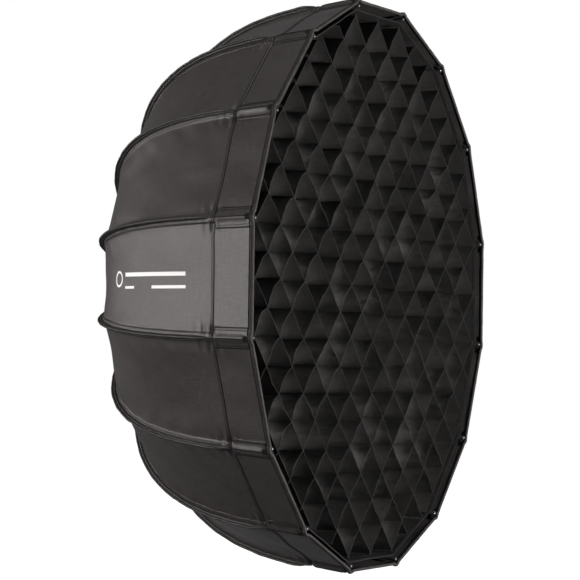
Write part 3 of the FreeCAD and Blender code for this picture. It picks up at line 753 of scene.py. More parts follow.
class Growth(Graph):
    """A geometry tree with named inputs, which turns a base mesh into a finished one."""

    KINDS = {
        "geometry": "NodeSocketGeometry",
        "float": "NodeSocketFloat",
        "int": "NodeSocketInt",
        "material": "NodeSocketMaterial",
    }
    SHARP = math.radians(50.0)

    def __init__(self, name: str, inputs: dict[str, str]) -> None:
        """Starts a tree.

        Args:
            name: The tree's name.
            inputs: Names and kinds of its inputs after the base geometry.
        """
        super().__init__(bpy.data.node_groups.new(name, "GeometryNodeTree"))
        face = self.tree.interface
        face.new_socket(name="Base", in_out="INPUT", socket_type=self.KINDS["geometry"])
        for label, kind in {**inputs, "Finish": "material"}.items():
            face.new_socket(name=label, in_out="INPUT", socket_type=self.KINDS[kind])
        face.new_socket(name="Result", in_out="OUTPUT", socket_type=self.KINDS["geometry"])
        self.source = self.node("NodeGroupInput", {}, {})

    def given(self, name: str) -> Wire:
        """One of the tree's inputs."""
        return Wire(self, self.source.outputs[name])

    def attribute(self, name: str, kind: str = "FLOAT") -> Wire:
        """A named attribute of the base mesh."""
        return self.wire("GeometryNodeInputNamedAttribute", {"data_type": kind}, {"Name": name})

    def scaled(self, vector: Wire, factor: Any) -> Wire:
        """A vector times a number."""
        return self.wire("ShaderNodeVectorMath", {"operation": "SCALE"}, {0: vector, "Scale": factor})

    def moved(self, geometry: Wire, offset: Wire) -> Wire:
        """Geometry with each point moved by an offset."""
        return self.wire("GeometryNodeSetPosition", {}, {"Geometry": geometry, "Offset": offset})

    def shaken(self, geometry: Wire, seed: Wire, scale: float, amount: Wire) -> Wire:
        """Moves points a little, by smooth noise.

        Args:
            geometry: What to move.
            seed: Place in the noise.
            scale: How many changes the noise has in a metre.
            amount: How far the points may move.

        Returns:
            The moved geometry.
        """
        place = self.wire("GeometryNodeInputPosition", {}, {})
        values = {"Vector": place, "W": seed, "Scale": scale, "Detail": 1.0}
        noise = self.wire("ShaderNodeTexNoise", {"noise_dimensions": "4D"}, values, "Color")
        centred = self.wire("ShaderNodeVectorMath", {"operation": "SUBTRACT"}, {0: noise, 1: (0.5, 0.5, 0.5)})
        return self.moved(geometry, self.scaled(centred, amount))

    def close(self, geometry: Wire) -> "Growth":
        """Ends the tree with real, smooth geometry in its finish.

        Args:
            geometry: The result, which may hold instances.

        Returns:
            The tree, ready to run.
        """
        real = self.wire("GeometryNodeRealizeInstances", {}, {0: geometry})
        even = self.wire("GeometryNodeSetShadeSmooth", {}, {0: real})
        done = self.wire("GeometryNodeSetMaterial", {}, {0: even, "Material": self.given("Finish")})
        self.node("NodeGroupOutput", {}, {"Result": done})
        return self

    def grow(
        self,
        name: str,
        base: bpy.types.Object,
        values: dict[str, Any],
        wall: float = 0.0,
    ) -> bpy.types.Object:
        """Runs the tree on a base and keeps the result as a plain mesh.

        Args:
            name: The new piece's name.
            base: The base, which is removed.
            values: The inputs by name.
            wall: Thickness to give an open surface, or 0.

        Returns:
            The finished piece.
        """
        modifier = base.modifiers.new("grow", "NODES")
        modifier.node_group = self.tree
        for item in self.tree.interface.items_tree:
            if item.name in values:
                modifier[item.identifier] = values[item.name]
        if wall:
            solid = base.modifiers.new("wall", "SOLIDIFY")
            solid.thickness = wall
            solid.offset = 0.0
        graph = bpy.context.evaluated_depsgraph_get()
        mesh = bpy.data.meshes.new_from_object(base.evaluated_get(graph))
        bpy.data.objects.remove(base)
        mesh.name = name
        if wall:
            mesh.set_sharp_from_angle(angle=self.SHARP)
        return link(name, mesh)


def piping_tree() -> Growth:
    """Rolled seams and bindings along lines.

    Returns:
        The tree.
    """
    tree = Growth("piping", {"Sides": "int", "Ripple": "float", "Seed": "float"})
    curve = tree.wire("GeometryNodeMeshToCurve", {}, {0: tree.given("Base")})
    sides = {"Resolution": tree.given("Sides"), "Radius": 1.0}
    ring = tree.wire("GeometryNodeCurvePrimitiveCircle", {}, sides)
    values = {"Curve": curve, "Profile Curve": ring, "Scale": tree.attribute("girth"), "Fill Caps": True}
    tube = tree.wire("GeometryNodeCurveToMesh", {}, values)
    return tree.close(tree.shaken(tube, tree.given("Seed"), 90.0, tree.given("Ripple")))


def stitch_tree() -> Growth:
    """Sewn stitches along lines.

    Returns:
        The tree.
    """
    tree = Growth("stitches", {"Spacing": "float", "Girth": "float", "Stretch": "float"})
    curve = tree.wire("GeometryNodeMeshToCurve", {}, {0: tree.given("Base")})
    spaced = {"Curve": curve, "Length": tree.given("Spacing")}
    row = tree.node("GeometryNodeCurveToPoints", {"mode": "LENGTH"}, spaced)
    bead = tree.wire("GeometryNodeMeshIcoSphere", {}, {"Radius": tree.given("Girth"), "Subdivisions": 1})
    size = tree.wire("ShaderNodeCombineXYZ", {}, {0: 1.0, 1: 1.0, 2: tree.given("Stretch")})
    values = {name: Wire(tree, row.outputs[name]) for name in ("Points", "Rotation")}
    values.update({"Instance": bead, "Scale": size})
    return tree.close(tree.wire("GeometryNodeInstanceOnPoints", {}, values))


def crate_tree() -> Growth:
    """Cloth walls pulled back from the front edges of a grid, slack between the crossings.

    Returns:
        The tree.
    """
    sizes = ("Depth", "Front", "Slack", "Ripple", "Seed")
    tree = Growth("egg_crate", dict.fromkeys(sizes, "float"))
    pull = tree.wire("ShaderNodeCombineXYZ", {}, {1: tree.given("Depth")})
    pulled = {"Mesh": tree.given("Base"), "Offset": pull}
    walls = tree.wire("GeometryNodeExtrudeMesh", {"mode": "EDGES"}, pulled)
    fine = tree.wire("GeometryNodeSubdivideMesh", {}, {"Mesh": walls, "Level": 2})
    place = tree.wire("GeometryNodeInputPosition", {}, {})
    split = tree.node("ShaderNodeSeparateXYZ", {}, {0: place})
    share = (Wire(tree, split.outputs[1]) - tree.given("Front")) / tree.given("Depth")
    bow = tree.attribute("bow") * tree.given("Slack") * (1.0 - share)
    sag = tree.attribute("sag") * tree.given("Slack") * share * (0.35 + share)
    side = tree.scaled(tree.attribute("side", "FLOAT_VECTOR"), bow - sag)
    bent = tree.moved(fine, side)
    values = {"Vector": place, "W": tree.given("Seed"), "Scale": 34.0, "Detail": 2.0}
    noise = tree.wire("ShaderNodeTexNoise", {"noise_dimensions": "4D"}, values)
    fold = (noise - 0.5) * tree.given("Ripple") * tree.attribute("free")
    offset = tree.scaled(tree.attribute("side", "FLOAT_VECTOR"), fold)
    return tree.close(tree.moved(bent, offset))


@dataclass(frozen=True)
class Seam:
    """A rolled seam or binding: its finish, how many sides it has, its unevenness and the noise's stride."""

    finish: str
    sides: int
    ripple: float
    stride: float


@dataclass(frozen=True)
class Stitch:
    """A kind of stitch: its spacing, half its thickness, and how much longer than thick it is."""

    spacing: float
    girth: float
    stretch: float


class Sewing:
    """Seams and stitches, grown along lines."""

    def __init__(self, finishes: Finishes) -> None:
        """Makes the two trees.

        Args:
            finishes: Where the thread and the seams find their finishes.
        """
        self.finishes = finishes
        self.piping = piping_tree()
        self.stitching = stitch_tree()

    def seam(
        self,
        kind: Seam,
        rib: int,
        lines: Sequence[np.ndarray],
        girths: Sequence[Any],
    ) -> bpy.types.Object:
        """A rolled seam or a binding.

        Args:
            kind: Its kind.
            rib: The rib it belongs to, which sets where its unevenness starts.
            lines: The lines that it follows.
            girths: The girth of each line, even or for each point.

        Returns:
            The seam.
        """
        values = {"Sides": kind.sides, "Ripple": kind.ripple, "Seed": rib * kind.stride}
        values["Finish"] = self.finishes[kind.finish]
        return self.piping.grow("seam", paths_mesh("seam_base", lines, girths), values)

    def stitches(self, name: str, kind: Stitch, lines: Sequence[np.ndarray]) -> bpy.types.Object:
        """Rows of stitches.

        Args:
            name: The piece's name.
            kind: The kind of stitch.
            lines: The rows.

        Returns:
            The stitches.
        """
        values = {"Spacing": kind.spacing, "Girth": kind.girth, "Stretch": kind.stretch}
        values["Finish"] = self.finishes["seam_thread"]
        return self.stitching.grow(name, paths_mesh("stitch_base", lines, [1.0] * len(lines)), values)


# ---------------------------------------------------------------- canopy


@dataclass(frozen=True)
class Profile:
    """Line of a rib seam, from the rim back and in to the hub."""

    rim_radius: float = 0.425
    mouth_radius: float = 0.115
    rear: float = -0.0315
    rim_lean: float = math.radians(7.25)
    peak: float = 1.28
    samples: int = 1601

    @cached_property
    def table(self) -> tuple[float, np.ndarray, np.ndarray, np.ndarray, np.ndarray]:
        """The line worked out in small steps, by turning its lean from the rim's to flat.

        Returns:
            The line's length, and the distances of the steps with the radius, place and lean at each.
        """
        share = np.linspace(0.0, 1.0, self.samples)
        lean = self.rim_lean + (math.pi / 2 - self.rim_lean) * np.sin(math.pi / 2 * share**self.peak) ** 2
        middle = (lean[1:] + lean[:-1]) / 2
        step = share[1]
        inward = np.concatenate([[0.0], np.cumsum(np.sin(middle)) * step])
        back = np.concatenate([[0.0], np.cumsum(np.cos(middle)) * step])
        length = (self.rim_radius - self.mouth_radius) / inward[-1]
        radius = self.rim_radius - inward * length
        place = self.rear - (back[-1] - back) * length
        return length, share * length, radius, place, lean

    @property
    def length(self) -> float:
        """From the rim to the mouth of the sockets."""
        return self.table[0]

    def at(self, distance: Any) -> tuple[np.ndarray, np.ndarray, np.ndarray]:
        """Finds a place on the line, or straight on past either end of it.

        Args:
            distance: Distance from the rim, along the cloth.

        Returns:
            Radius, place along the axis and lean.
        """
        distance = np.asarray(distance, float)
        length, steps, radii, places, leans = self.table
        extra = np.maximum(distance - length, 0.0)
        before = np.minimum(distance, 0.0)
        radius = np.interp(distance, steps, radii) - extra - before * math.sin(self.rim_lean)
        place = np.interp(distance, steps, places) + before * math.cos(self.rim_lean)
        return radius, place, np.interp(distance, steps, leans)

    def distance_at(self, radius: float) -> float:
        """Distance from the rim where the line has a radius."""
        _, steps, reach, _, _ = self.table
        return float(np.interp(-radius, -reach, steps))


@dataclass(frozen=True)
class Folds:
    """Shallow folds: their height, and how fast they turn with the distance from the rim and across it."""

    height: float
    along: float
    across: float = 0.0

    def at(self, s: np.ndarray, x: np.ndarray, phase: float) -> np.ndarray:
        """Height at a distance s from the rim and x across."""
        return self.height * np.sin(s * self.along + x * self.across + phase)


@dataclass
class Canopy:
    """Sixteen gores of cloth on the ribs, in bands, with their seams.

    A place on a gore is its distance s from the rim along the cloth, and either its distance x from
    the rib or the share w of the way from the rib to the middle of the panel.
    """

    finishes: Finishes
    sewing: Sewing
    profile: Profile = field(default_factory=Profile)
    band_edges: tuple[float, ...] = (0.0, 0.065, 0.165, 0.275, 0.390)
    gathers: tuple[float, ...] = (0.19, 0.345, 0.485, 0.635, 0.80)
    gather_anchor: tuple[float, float, float] = (0.0, -0.2, 0.0)
    cuff_lap: float = 0.0245
    thickness: float = 0.0006
    scallop: float = 0.0012
    least_cut: float = 0.31
    lip: float = 0.065
    lip_rows: tuple[float, ...] = (0, 2, 4, 6, 9, 13, 18, 25, 32, 39, 46, 52, 57, 60, 62, 63.5, 65)
    pucker_rows: tuple[float, ...] = (66, 67.5, 69, 71, 74, 78, 83, 89)
    row_pitch: float = 0.008
    columns: tuple[float, ...] = (
        *(0.018, 0.036, 0.055, 0.072, 0.084, 0.10, 0.13, 0.155, 0.172, 0.19),
        *(0.24, 0.33, 0.46, 0.60, 0.74, 0.87, 1.0),
    )
    printed_ribs: tuple[int, ...] = (12, 13)
    pocket_half: float = 0.0142
    pocket_rise: float = 0.0015
    rod_rise: float = 0.0026
    rod_width: float = 0.0050
    fell_half: float = 0.0066
    fell_rise: float = 0.0009
    tent_rise: float = 0.0016
    tent_width: float = 0.0060
    pucker: Folds = Folds(0.0017, 430.0)
    pull: Folds = Folds(0.0004, 150.0, 95.0)
    wide_waves: Folds = Folds(0.0010, 9.0, 46.0)
    fine_waves: Folds = Folds(0.0005, -21.0, 88.0)
    hub_zone: tuple[float, float] = (0.135, 0.20)
    seam_start: float = 0.0655
    seam_end_radius: float = 0.1225
    stitch_start: float = 0.071
    welt: Seam = Seam("seam_cloth", 9, 0.0016, 3.7)
    welt_rises: tuple[float, float] = (0.0014, 0.0052)
    welt_girths: tuple[float, float] = (0.0026, 0.0020)
    binding: Seam = Seam("binding_tape", 10, 0.0010, 1.9)
    binding_girths: tuple[float, float] = (0.0022, 0.0019)
    topstitch: Seam = Seam("seam_thread", 6, 0.0004, 5.1)
    fell_stitch: Stitch = Stitch(0.0042, 0.0005, 2.4)
    pocket_stitch: Stitch = Stitch(0.0026, 0.00062, 2.0)
    proud: float = 0.0002
    zigzag_step: float = 0.0018
    zigzag_swing: float = 0.0008
    seed: int = 11

    def __post_init__(self) -> None:
        """Draws the random phases, the same at both ends of the round."""
        rng = np.random.default_rng(self.seed)
        self.phases = rng.uniform(0.0, 2 * math.pi, (RIBS + 1, 8))
        self.phases[RIBS] = self.phases[0]

    def sewn(self, x: np.ndarray, s: np.ndarray, nearing: np.ndarray) -> np.ndarray:
        """Height of the rod pockets, the felled seams and the crease behind the lip.

        Args:
            x: Distance from the rib.
            s: Distance from the rim.
            nearing: 1 away from the hub, falling to 0 at it.

        Returns:
            The height.
        """
        in_lip = smooth(0.002, 0.006, s) * (1 - smooth(0.058, 0.0645, s))
        pocket = self.pocket_rise * (1 - smooth(self.pocket_half - 0.0010, self.pocket_half, x))
        rod = self.rod_rise * bell(x, self.rod_width) * (0.15 + 0.85 * smooth(0.008, 0.015, s))
        felled = self.fell_rise * (1 - smooth(self.fell_half - 0.0006, self.fell_half + 0.0002, x))
        tented = (felled + self.tent_rise * bell(x, self.tent_width)) * nearing
        crease = -0.0005 * bell(s - self.lip, 0.0009) + 0.0004 * bell(s - self.lip - 0.0022, 0.0012)
        return in_lip * (pocket + rod) + (1 - in_lip) * tented + crease

    def relief(
        self,
        panel: np.ndarray,
        rib: int,
        x: np.ndarray,
        half: np.ndarray,
        side: int,
        s: np.ndarray,
    ) -> np.ndarray:
        """Height of the cloth above the flat panel between two ribs.

        Args:
            panel: Phases of the panel's folds.
            rib: The nearer rib.
            x: Distance from the rib along the panel.
            half: Half the panel's width.
            side: Which side of the rib, -1 or 1.
            s: Distance from the rim.

        Returns:
            The height.
        """
        nearing = smooth(*self.hub_zone, self.profile.at(s)[0])
        own = self.phases[rib % RIBS]
        pucker = self.pucker.at(s, x, own[2] + side * 1.3) * bell(x - 0.011, 0.009) * bell(s - 0.074, 0.020)
        pull = self.pull.at(s, x, own[3] * side) * bell(x - 0.016, 0.016) * smooth(0.07, 0.11, s)
        across = side * (x - half)
        wave = self.wide_waves.at(s, across, panel[0]) * np.sin(s * 17.0 + panel[1])
        wave = wave + self.fine_waves.at(s, across, panel[4]) * np.sin(s * 33.0 + panel[5])
        loose = smooth(0.0, 0.03, x) * smooth(0.0, 0.02, s) * nearing
        share = np.clip(s / self.profile.length, 0.0, 1.0)
        sunk = self.scallop * np.sin(math.pi * share) * (1 - (1 - x / half) ** 2)
        return self.sewn(x, s, nearing) + (pucker + pull) * nearing + wave * loose - sunk

    def surface(self, rib: int, side: int, w: Any, s: Any) -> np.ndarray:
        """Points of a gore's outer face.

        Args:
            rib: The rib's number.
            side: Which side of it, -1 or 1.
            w: Share of the way from the rib to the middle of the panel.
            s: Distance from the rim.

        Returns:
            The points, one for each pair.
        """
        w, s = np.broadcast_arrays(np.asarray(w, float), np.asarray(s, float))
        theta = rib_angle(rib)
        radius, place, lean = self.profile.at(s)
        half = radius * math.sin(HALF)
        x = np.maximum(w, 0.0) * half
        panel = self.phases[(rib if side > 0 else rib - 1) % RIBS]
        height = self.relief(panel, rib, np.minimum(x, 2 * half - x), half, side, s)
        corner = radius[..., None] * spoke(theta)
        middle = (radius * math.cos(HALF))[..., None] * spoke(theta + side * HALF)
        turn = smooth(0.0, 0.012, x) * side * HALF
        facing = spoke(theta + turn) * np.cos(lean)[..., None] + REAR * np.sin(lean)[..., None]
        flat = corner + w[..., None] * (middle - corner) + place[..., None] * REAR
        return flat + height[..., None] * facing

    def facing(self, rib: int, side: int, w: np.ndarray, s: np.ndarray) -> np.ndarray:
        """Outward normals, the same on both sides of every join.

        Args:
            rib: The rib's number.
            side: Which side of it, -1 or 1.
            w: Share of the way from the rib to the middle of the panel.
            s: Distance from the rim.

        Returns:
            The normals, one for each pair.
        """
        step, share = 4e-4, 0.006
        along = self.surface(rib, side, w, s + step) - self.surface(rib, side, w, s - step)
        across = self.surface(rib, side, w + share, s) - self.surface(rib, side, w - share, s)
        normal = np.cross(along, across) * side
        normal = normal / np.linalg.norm(normal, axis=-1, keepdims=True)
        _, _, lean = self.profile.at(s)
        out = spoke(rib_angle(rib)) * np.cos(lean)[..., None] + REAR * np.sin(lean)[..., None]
        sign = np.where(np.sum(normal * out, -1, keepdims=True) < 0, -1.0, 1.0)
        on_rib = np.abs(w)[..., None] < 1e-6
        return np.where(on_rib, out, normal * sign)

    def rows(self, band: int) -> np.ndarray:
        """Distances from the rim of a band's rows, closer together at the lip and its puckers.

        Args:
            band: The band, from 0 at the rim.

        Returns:
            The distances.
        """
        if band == 0:
            return np.array(self.lip_rows) / 1000
        edges = (*self.band_edges, self.profile.distance_at(self.profile.mouth_radius) + self.cuff_lap)
        start, end = edges[band], edges[band + 1]
        if band == 1:
            near = np.array(self.pucker_rows) / 1000
            return np.concatenate([[start], near, np.arange(0.096, end - 0.004, self.row_pitch), [end]])
        return np.linspace(start, end, max(int((end - start) / self.row_pitch), 4))

    def band(self, rib: int, band: int) -> Layer:
        """One band of a gore, with each half cut as it lies beside its own rib.

        Args:
            rib: The rib in its middle.
            band: The band, from 0 at the rim.

        Returns:
            The band's outer face.
        """
        s = self.rows(band)[:, None]
        share = np.concatenate([[0.0], self.columns])[None, :]
        left, right = (self.surface(rib, side, share, s) for side in (-1, 1))
        left_out, right_out = (self.facing(rib, side, *np.broadcast_arrays(share, s)) for side in (-1, 1))
        points = np.concatenate([left[:, :0:-1], right], 1)
        normals = np.concatenate([left_out[:, :0:-1], right_out], 1)
        half = self.profile.at(s)[0] * math.sin(HALF)
        gap = half * (1 - share)
        before = (rib - 1 if rib > 1 else RIBS) + gap
        after = rib - gap
        tall = np.broadcast_to(s, gap.shape)
        low, high, along = (np.concatenate([share[:, :0:-1], share], 1) for share in (before, after, tall))
        cuts = np.stack([np.stack([place, along], -1) for place in (low, high)], 2)
        return lattice(points, cuts, normals)

    def across(self, rib: int, s: float, lift: float) -> np.ndarray:
        """Points round the canopy, over one gore.

        Args:
            rib: The rib's number.
            s: Distance from the rim.
            lift: Height above the cloth.

        Returns:
            The points.
        """
        share = np.concatenate([[0.0], self.columns])
        halves = []
        for side in (-1, 1):
            points = self.surface(rib, side, share, np.full_like(share, s))
            halves.append(points + lift * self.facing(rib, side, share, np.full_like(share, s)))
        return np.concatenate([halves[0][:0:-1], halves[1]])

    def beside(
        self,
        rib: int,
        side: int,
        offset: Any,
        ends: tuple[float, float],
        lift: Any,
        steps: int = 24,
    ) -> np.ndarray:
        """Points along a rib, on its seam or beside it.

        Args:
            rib: The rib's number.
            side: Which side of it, -1 or 1.
            offset: Distance from the seam, even or for each point.
            ends: Distances from the rim of the first point and the last.
            lift: Height above the cloth, even or for each point.
            steps: How many points.

        Returns:
            The points.
        """
        s = np.linspace(*ends, steps)
        w = offset / (self.profile.at(s)[0] * math.sin(HALF))
        return self.surface(rib, side, w, s) + np.asarray(lift)[..., None] * self.facing(rib, side, w, s)

    def zigzag(self, rib: int, side: int, offset: float, ends: tuple[float, float]) -> np.ndarray:
        """Points of a zigzag row along a rod pocket.

        Args:
            rib: The rib's number.
            side: Which side of it, -1 or 1.
            offset: Distance of the row's middle from the seam.
            ends: Distances from the rim of the first point and the last.

        Returns:
            The points.
        """
        steps = int((ends[1] - ends[0]) / self.zigzag_step)
        swing = self.zigzag_swing * np.where(np.arange(steps) % 2, 1.0, -1.0)
        return self.beside(rib, side, offset + swing, ends, 0.0003, steps)

    def follow(self, piece: bpy.types.Object, rib: int, gather: float | None = None) -> None:
        """Says what a piece rides on and what it replaces, and gives it its own mesh where a gather is given.

        Args:
            piece: The piece.
            rib: The rib that carries it.
            gather: The share of its width that is left when the ribs are folded.
        """
        claim(piece, f"rib_{rib:02d}", f"gore_{rib:02d}")
        if gather is not None:
            angle = rib_angle(rib)
            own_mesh(piece)

    def build_gores(self) -> None:
        """Makes the sheets."""
        for rib in range(1, RIBS + 1):
            outside = "canopy_printed" if rib in self.printed_ribs else "canopy_cloth"
            for band, gather in enumerate(self.gathers):
                lining = "silver_lining" if band else "lip_lining"
                materials = [self.finishes[outside], self.finishes[lining]]
                layer = self.band(rib, band)
                piece = layer.build(f"gore_{rib:02d}_band_{band + 1}", self.thickness, materials)
                self.follow(piece, rib, gather)
                rows = self.rows(band)
                width = 2 * float(self.profile.at(rows[0])[0]) * math.sin(HALF)
                length = float(rows[-1] - rows[0])
                area = min(max(layer.area(), self.least_cut * width * length), width * length)
        LOG.info("canopy: %d bands of cloth", RIBS * len(self.gathers))

    def build_seams(self) -> None:
        """Makes the rolled seam over each rib, between two rows of stitches."""
        steps = 80
        end = self.profile.distance_at(self.seam_end_radius)
        taper = 0.25 + 0.75 * smooth(0.0, 0.06, np.linspace(0.0, 1.0, steps))
        girths = [girth * taper for girth in self.welt_girths]
        inside = self.fell_half - 0.0010
        for rib in range(1, RIBS + 1):
            ends = (self.seam_start, end)
            rolls = [self.beside(rib, 1, 0.0, ends, rise * taper, steps) for rise in self.welt_rises]
            welt = self.sewing.seam(self.welt, rib, rolls, girths)
            ends = (self.stitch_start, end)
            rows = [self.beside(rib, side, inside, ends, self.proud, 90) for side in (-1, 1)]
            stitches = self.sewing.stitches("stitches", self.fell_stitch, rows)
            self.follow(joined(f"rib_seam_{rib:02d}", [welt, stitches]), rib)
        LOG.info("canopy: %d rolled seams", RIBS)

    def build_rim(self) -> None:
        """Makes the binding, the lip seam and the stitched rod pocket at each rib."""
        tack, pocket, sewn = (0.0068, 0.0125), (0.007, 0.064), (0.009, 0.0625)
        offsets = (self.pocket_half - 0.0034, self.pocket_half + 0.0002)
        for rib in range(1, RIBS + 1):
            rolls = [self.across(rib, 0.0010, -0.0002), self.across(rib, 0.0030, 0.0006)]
            binding = self.sewing.seam(self.binding, rib, rolls, self.binding_girths)
            lines = [
                self.across(rib, self.lip - 0.0004, self.proud),
                self.across(rib, 0.0064, self.proud),
                self.beside(rib, 1, 0.0, pocket, 0.0003),
                self.beside(rib, 1, 0.0022, tack, self.proud),
                self.beside(rib, -1, 0.0022, tack, self.proud),
            ]
            seams = self.sewing.seam(self.topstitch, rib, lines, [0.0007, 0.0009, 0.0008, 0.0021, 0.0021])
            rows = [self.zigzag(rib, side, offset, sewn) for side in (-1, 1) for offset in offsets]
            rows.append(self.across(rib, self.lip + 0.0035, self.proud))
            stitches = self.sewing.stitches("stitches", self.pocket_stitch, rows)
            trim = joined(f"rim_trim_{rib:02d}", [binding, seams, stitches])
            self.follow(trim, rib, self.gathers[0])
        LOG.info("canopy: rim binding and pockets at %d ribs", RIBS)

    def build(self) -> None:
        """Makes every piece of the canopy."""
        self.build_gores()
        self.build_seams()
        self.build_rim()


# ---------------------------------------------------------------- grid


class Run(Enum):
    """Which way a wall of the grid runs, as an angle from up.

    Seen from the front, rising walls climb to the right.
    """

    RISING = math.radians(45.0)
    FALLING = math.radians(135.0)


@dataclass
class Grid:
    """Egg-crate of slack cloth walls in a band that follows the rim.

    The front edge of a wall bows between two crossings and its rear edge sags, by random shares of
    the slack. Seen from the front, the walls are slackest at the left.
    """

    finishes: Finishes
    sewing: Sewing
    pitch: float = 0.056
    wall: float = 0.0007
    corner: float = 0.4068
    band_front: float = 0.41334
    band_rear: float = 0.40751
    band_wall: float = 0.0016
    stitch: Stitch = Stitch(0.0042, 0.0005, 2.6)
    stitch_depths: tuple[float, float] = (0.0035, 0.0405)
    slack: float = 0.0048
    ripple: float = 0.012
    bows: dict[Run, tuple[float, float]] = field(
        default_factory=lambda: {Run.RISING: (0.4, 1.9), Run.FALLING: (-0.3, 0.4)}
    )
    sags: dict[Run, tuple[float, float]] = field(
        default_factory=lambda: {Run.RISING: (-2.8, 3.2), Run.FALLING: (-3.4, 3.2)}
    )
    falling_sag: float = 1.6
    least_wall: float = 0.02
    least_end: float = 0.006
    clear_of_band: float = 0.002
    held_by_band: float = 0.030
    steps: int = 4
    seed: int = 5

    def __post_init__(self) -> None:
        """Takes the depth from the frame."""
        low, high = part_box("grid_cells")
        self.front = low.y + 0.0005
        self.depth = high.y - low.y - 0.001
        self.apothem = self.corner * math.cos(HALF)
        self.sides = [spoke(n * 2 * HALF) for n in range(RIBS)]

    def chord(self, run: Run, offset: float) -> tuple[float, float] | None:
        """Where a wall starts and ends, or None where it misses the grid.

        Args:
            run: Its family.
            offset: Its distance from the middle.

        Returns:
            Distances along the wall of its two ends.
        """
        along, side = spoke(run.value), spoke(run.value + math.pi / 2)
        low, high = -self.corner, self.corner
        for normal in self.sides:
            slope = float(along @ normal)
            room = self.apothem - offset * float(side @ normal)
            if abs(slope) < 1e-9:
                if room < 0:
                    return None
            elif slope > 0:
                high = min(high, room / slope)
            else:
                low = max(low, room / slope)
        return (low, high) if high - low > self.least_wall else None

    def drift(self, points: np.ndarray) -> np.ndarray:
        """How far the crossings stand off their true places, which is nothing near the band.

        Args:
            points: The true places.

        Returns:
            The moves.
        """
        x, z = points[:, 0], points[:, 2]
        moved = np.zeros_like(points)
        moved[:, 0] = 0.0016 * np.sin(x * 31.0 + z * 17.0 + 0.6) + 0.0010 * np.sin(z * 63.0 + 2.0)
        moved[:, 2] = 0.0016 * np.sin(z * 29.0 - x * 21.0 + 1.9) + 0.0010 * np.sin(x * 57.0 + 0.4)
        fade = 1 - smooth(0.36, 0.40, np.hypot(x, z))
        return moved * fade[:, None]

    def stops(self, run: Run, line: int) -> list[float]:
        """Places of a wall's ends and crossings.

        Args:
            run: Its family.
            line: Its number, from 0 through the middle.

        Returns:
            Distances along the wall, or nothing where it misses the grid.
        """
        ends = self.chord(run, line * self.pitch)
        if ends is None:
            return []
        count = int(self.corner // self.pitch) + 1
        low, high = ends[0] + self.least_end, ends[1] - self.least_end
        crossings = [n * self.pitch for n in range(-count, count + 1)]
        return [ends[0], *(place for place in crossings if low < place < high), ends[1]]

    def looseness(self, run: Run, middle: float, rng: np.random.Generator) -> tuple[float, float]:
        """Bow and sag of a wall between two crossings, as shares of the slack.

        Args:
            run: Its family.
            middle: How far right of the axis its middle is, seen from the front.
            rng: The random numbers.

        Returns:
            The bow and the sag.
        """
        loose = 0.30 + 0.85 * float(1 - smooth(-0.36, 0.02, middle))
        bow, sag = rng.uniform(*self.bows[run]) * loose, rng.uniform(*self.sags[run])
        return bow, sag + (self.falling_sag * loose if run is Run.FALLING else 0.0)

    def walls(self, run: Run, rng: np.random.Generator) -> tuple[list, list, list]:
        """Front edges of one family of walls.

        Args:
            run: Which family.
            rng: The random numbers.

        Returns:
            The points, the edges, and the bow, sag, freedom and side of each point.
        """
        points, edges, marks = [], [], []
        along, side = spoke(run.value), spoke(run.value + math.pi / 2)
        up = side if side[2] > 0 else -side
        count = int(self.corner // self.pitch)
        for line in range(-count, count + 1):
            stops = self.stops(run, line)
            across = side * line * self.pitch
            for low, high in zip(stops[:-1], stops[1:]):
                first = low == stops[0]
                size = min((high - low) / self.pitch, 1.0)
                middle = float(along[0] * (low + high) / 2 + across[0])
                bow, sag = self.looseness(run, middle, rng)
                for step in range(0 if first else 1, self.steps + 1):
                    share = step / self.steps
                    place = along * (low + (high - low) * share) + across
                    room = min(self.apothem - float(place @ normal) for normal in self.sides)
                    held = min(max((room - self.clear_of_band) / self.held_by_band, 0.0), 1.0)
                    free = math.sin(math.pi * share) * held
                    points.append(place)
                    marks.append((bow * size * free, sag * size * free, free, up))
                    if not (first and step == 0):
                        edges.append((len(points) - 2, len(points) - 1))
        return points, edges, marks

    def build_cells(self) -> None:
        """Makes the walls, one mesh for both families."""
        rng = np.random.default_rng(self.seed)
        points, edges, marks = [], [], []
        for run in Run:
            new_points, new_edges, new_marks = self.walls(run, rng)
            edges += [(a + len(points), b + len(points)) for a, b in new_edges]
            points += new_points
            marks += new_marks
        places = np.array(points)
        places = places + self.drift(places)
        places[:, 1] = self.front
        mesh = bpy.data.meshes.new("crate_base")
        mesh.from_pydata(places.tolist(), edges, [])
        for number, name in enumerate(("bow", "sag", "free")):
            values = [mark[number] for mark in marks]
            mesh.attributes.new(name, "FLOAT", "POINT").data.foreach_set("value", values)
        sides = np.array([mark[3] for mark in marks]).ravel()
        mesh.attributes.new("side", "FLOAT_VECTOR", "POINT").data.foreach_set("vector", sides)
        values = {
            "Depth": self.depth,
            "Front": self.front,
            "Slack": self.slack,
            "Ripple": self.ripple,
            "Seed": 4.2,
            "Finish": self.finishes["grid_cloth"],
        }
        piece = crate_tree().grow("grid_walls", link("crate_base", mesh), values, self.wall)
        claim(piece, "grid", "grid_cells")
        total = sum(float(np.linalg.norm(places[b] - places[a])) for a, b in edges)
        LOG.info("grid: %.1f m of wall", total)

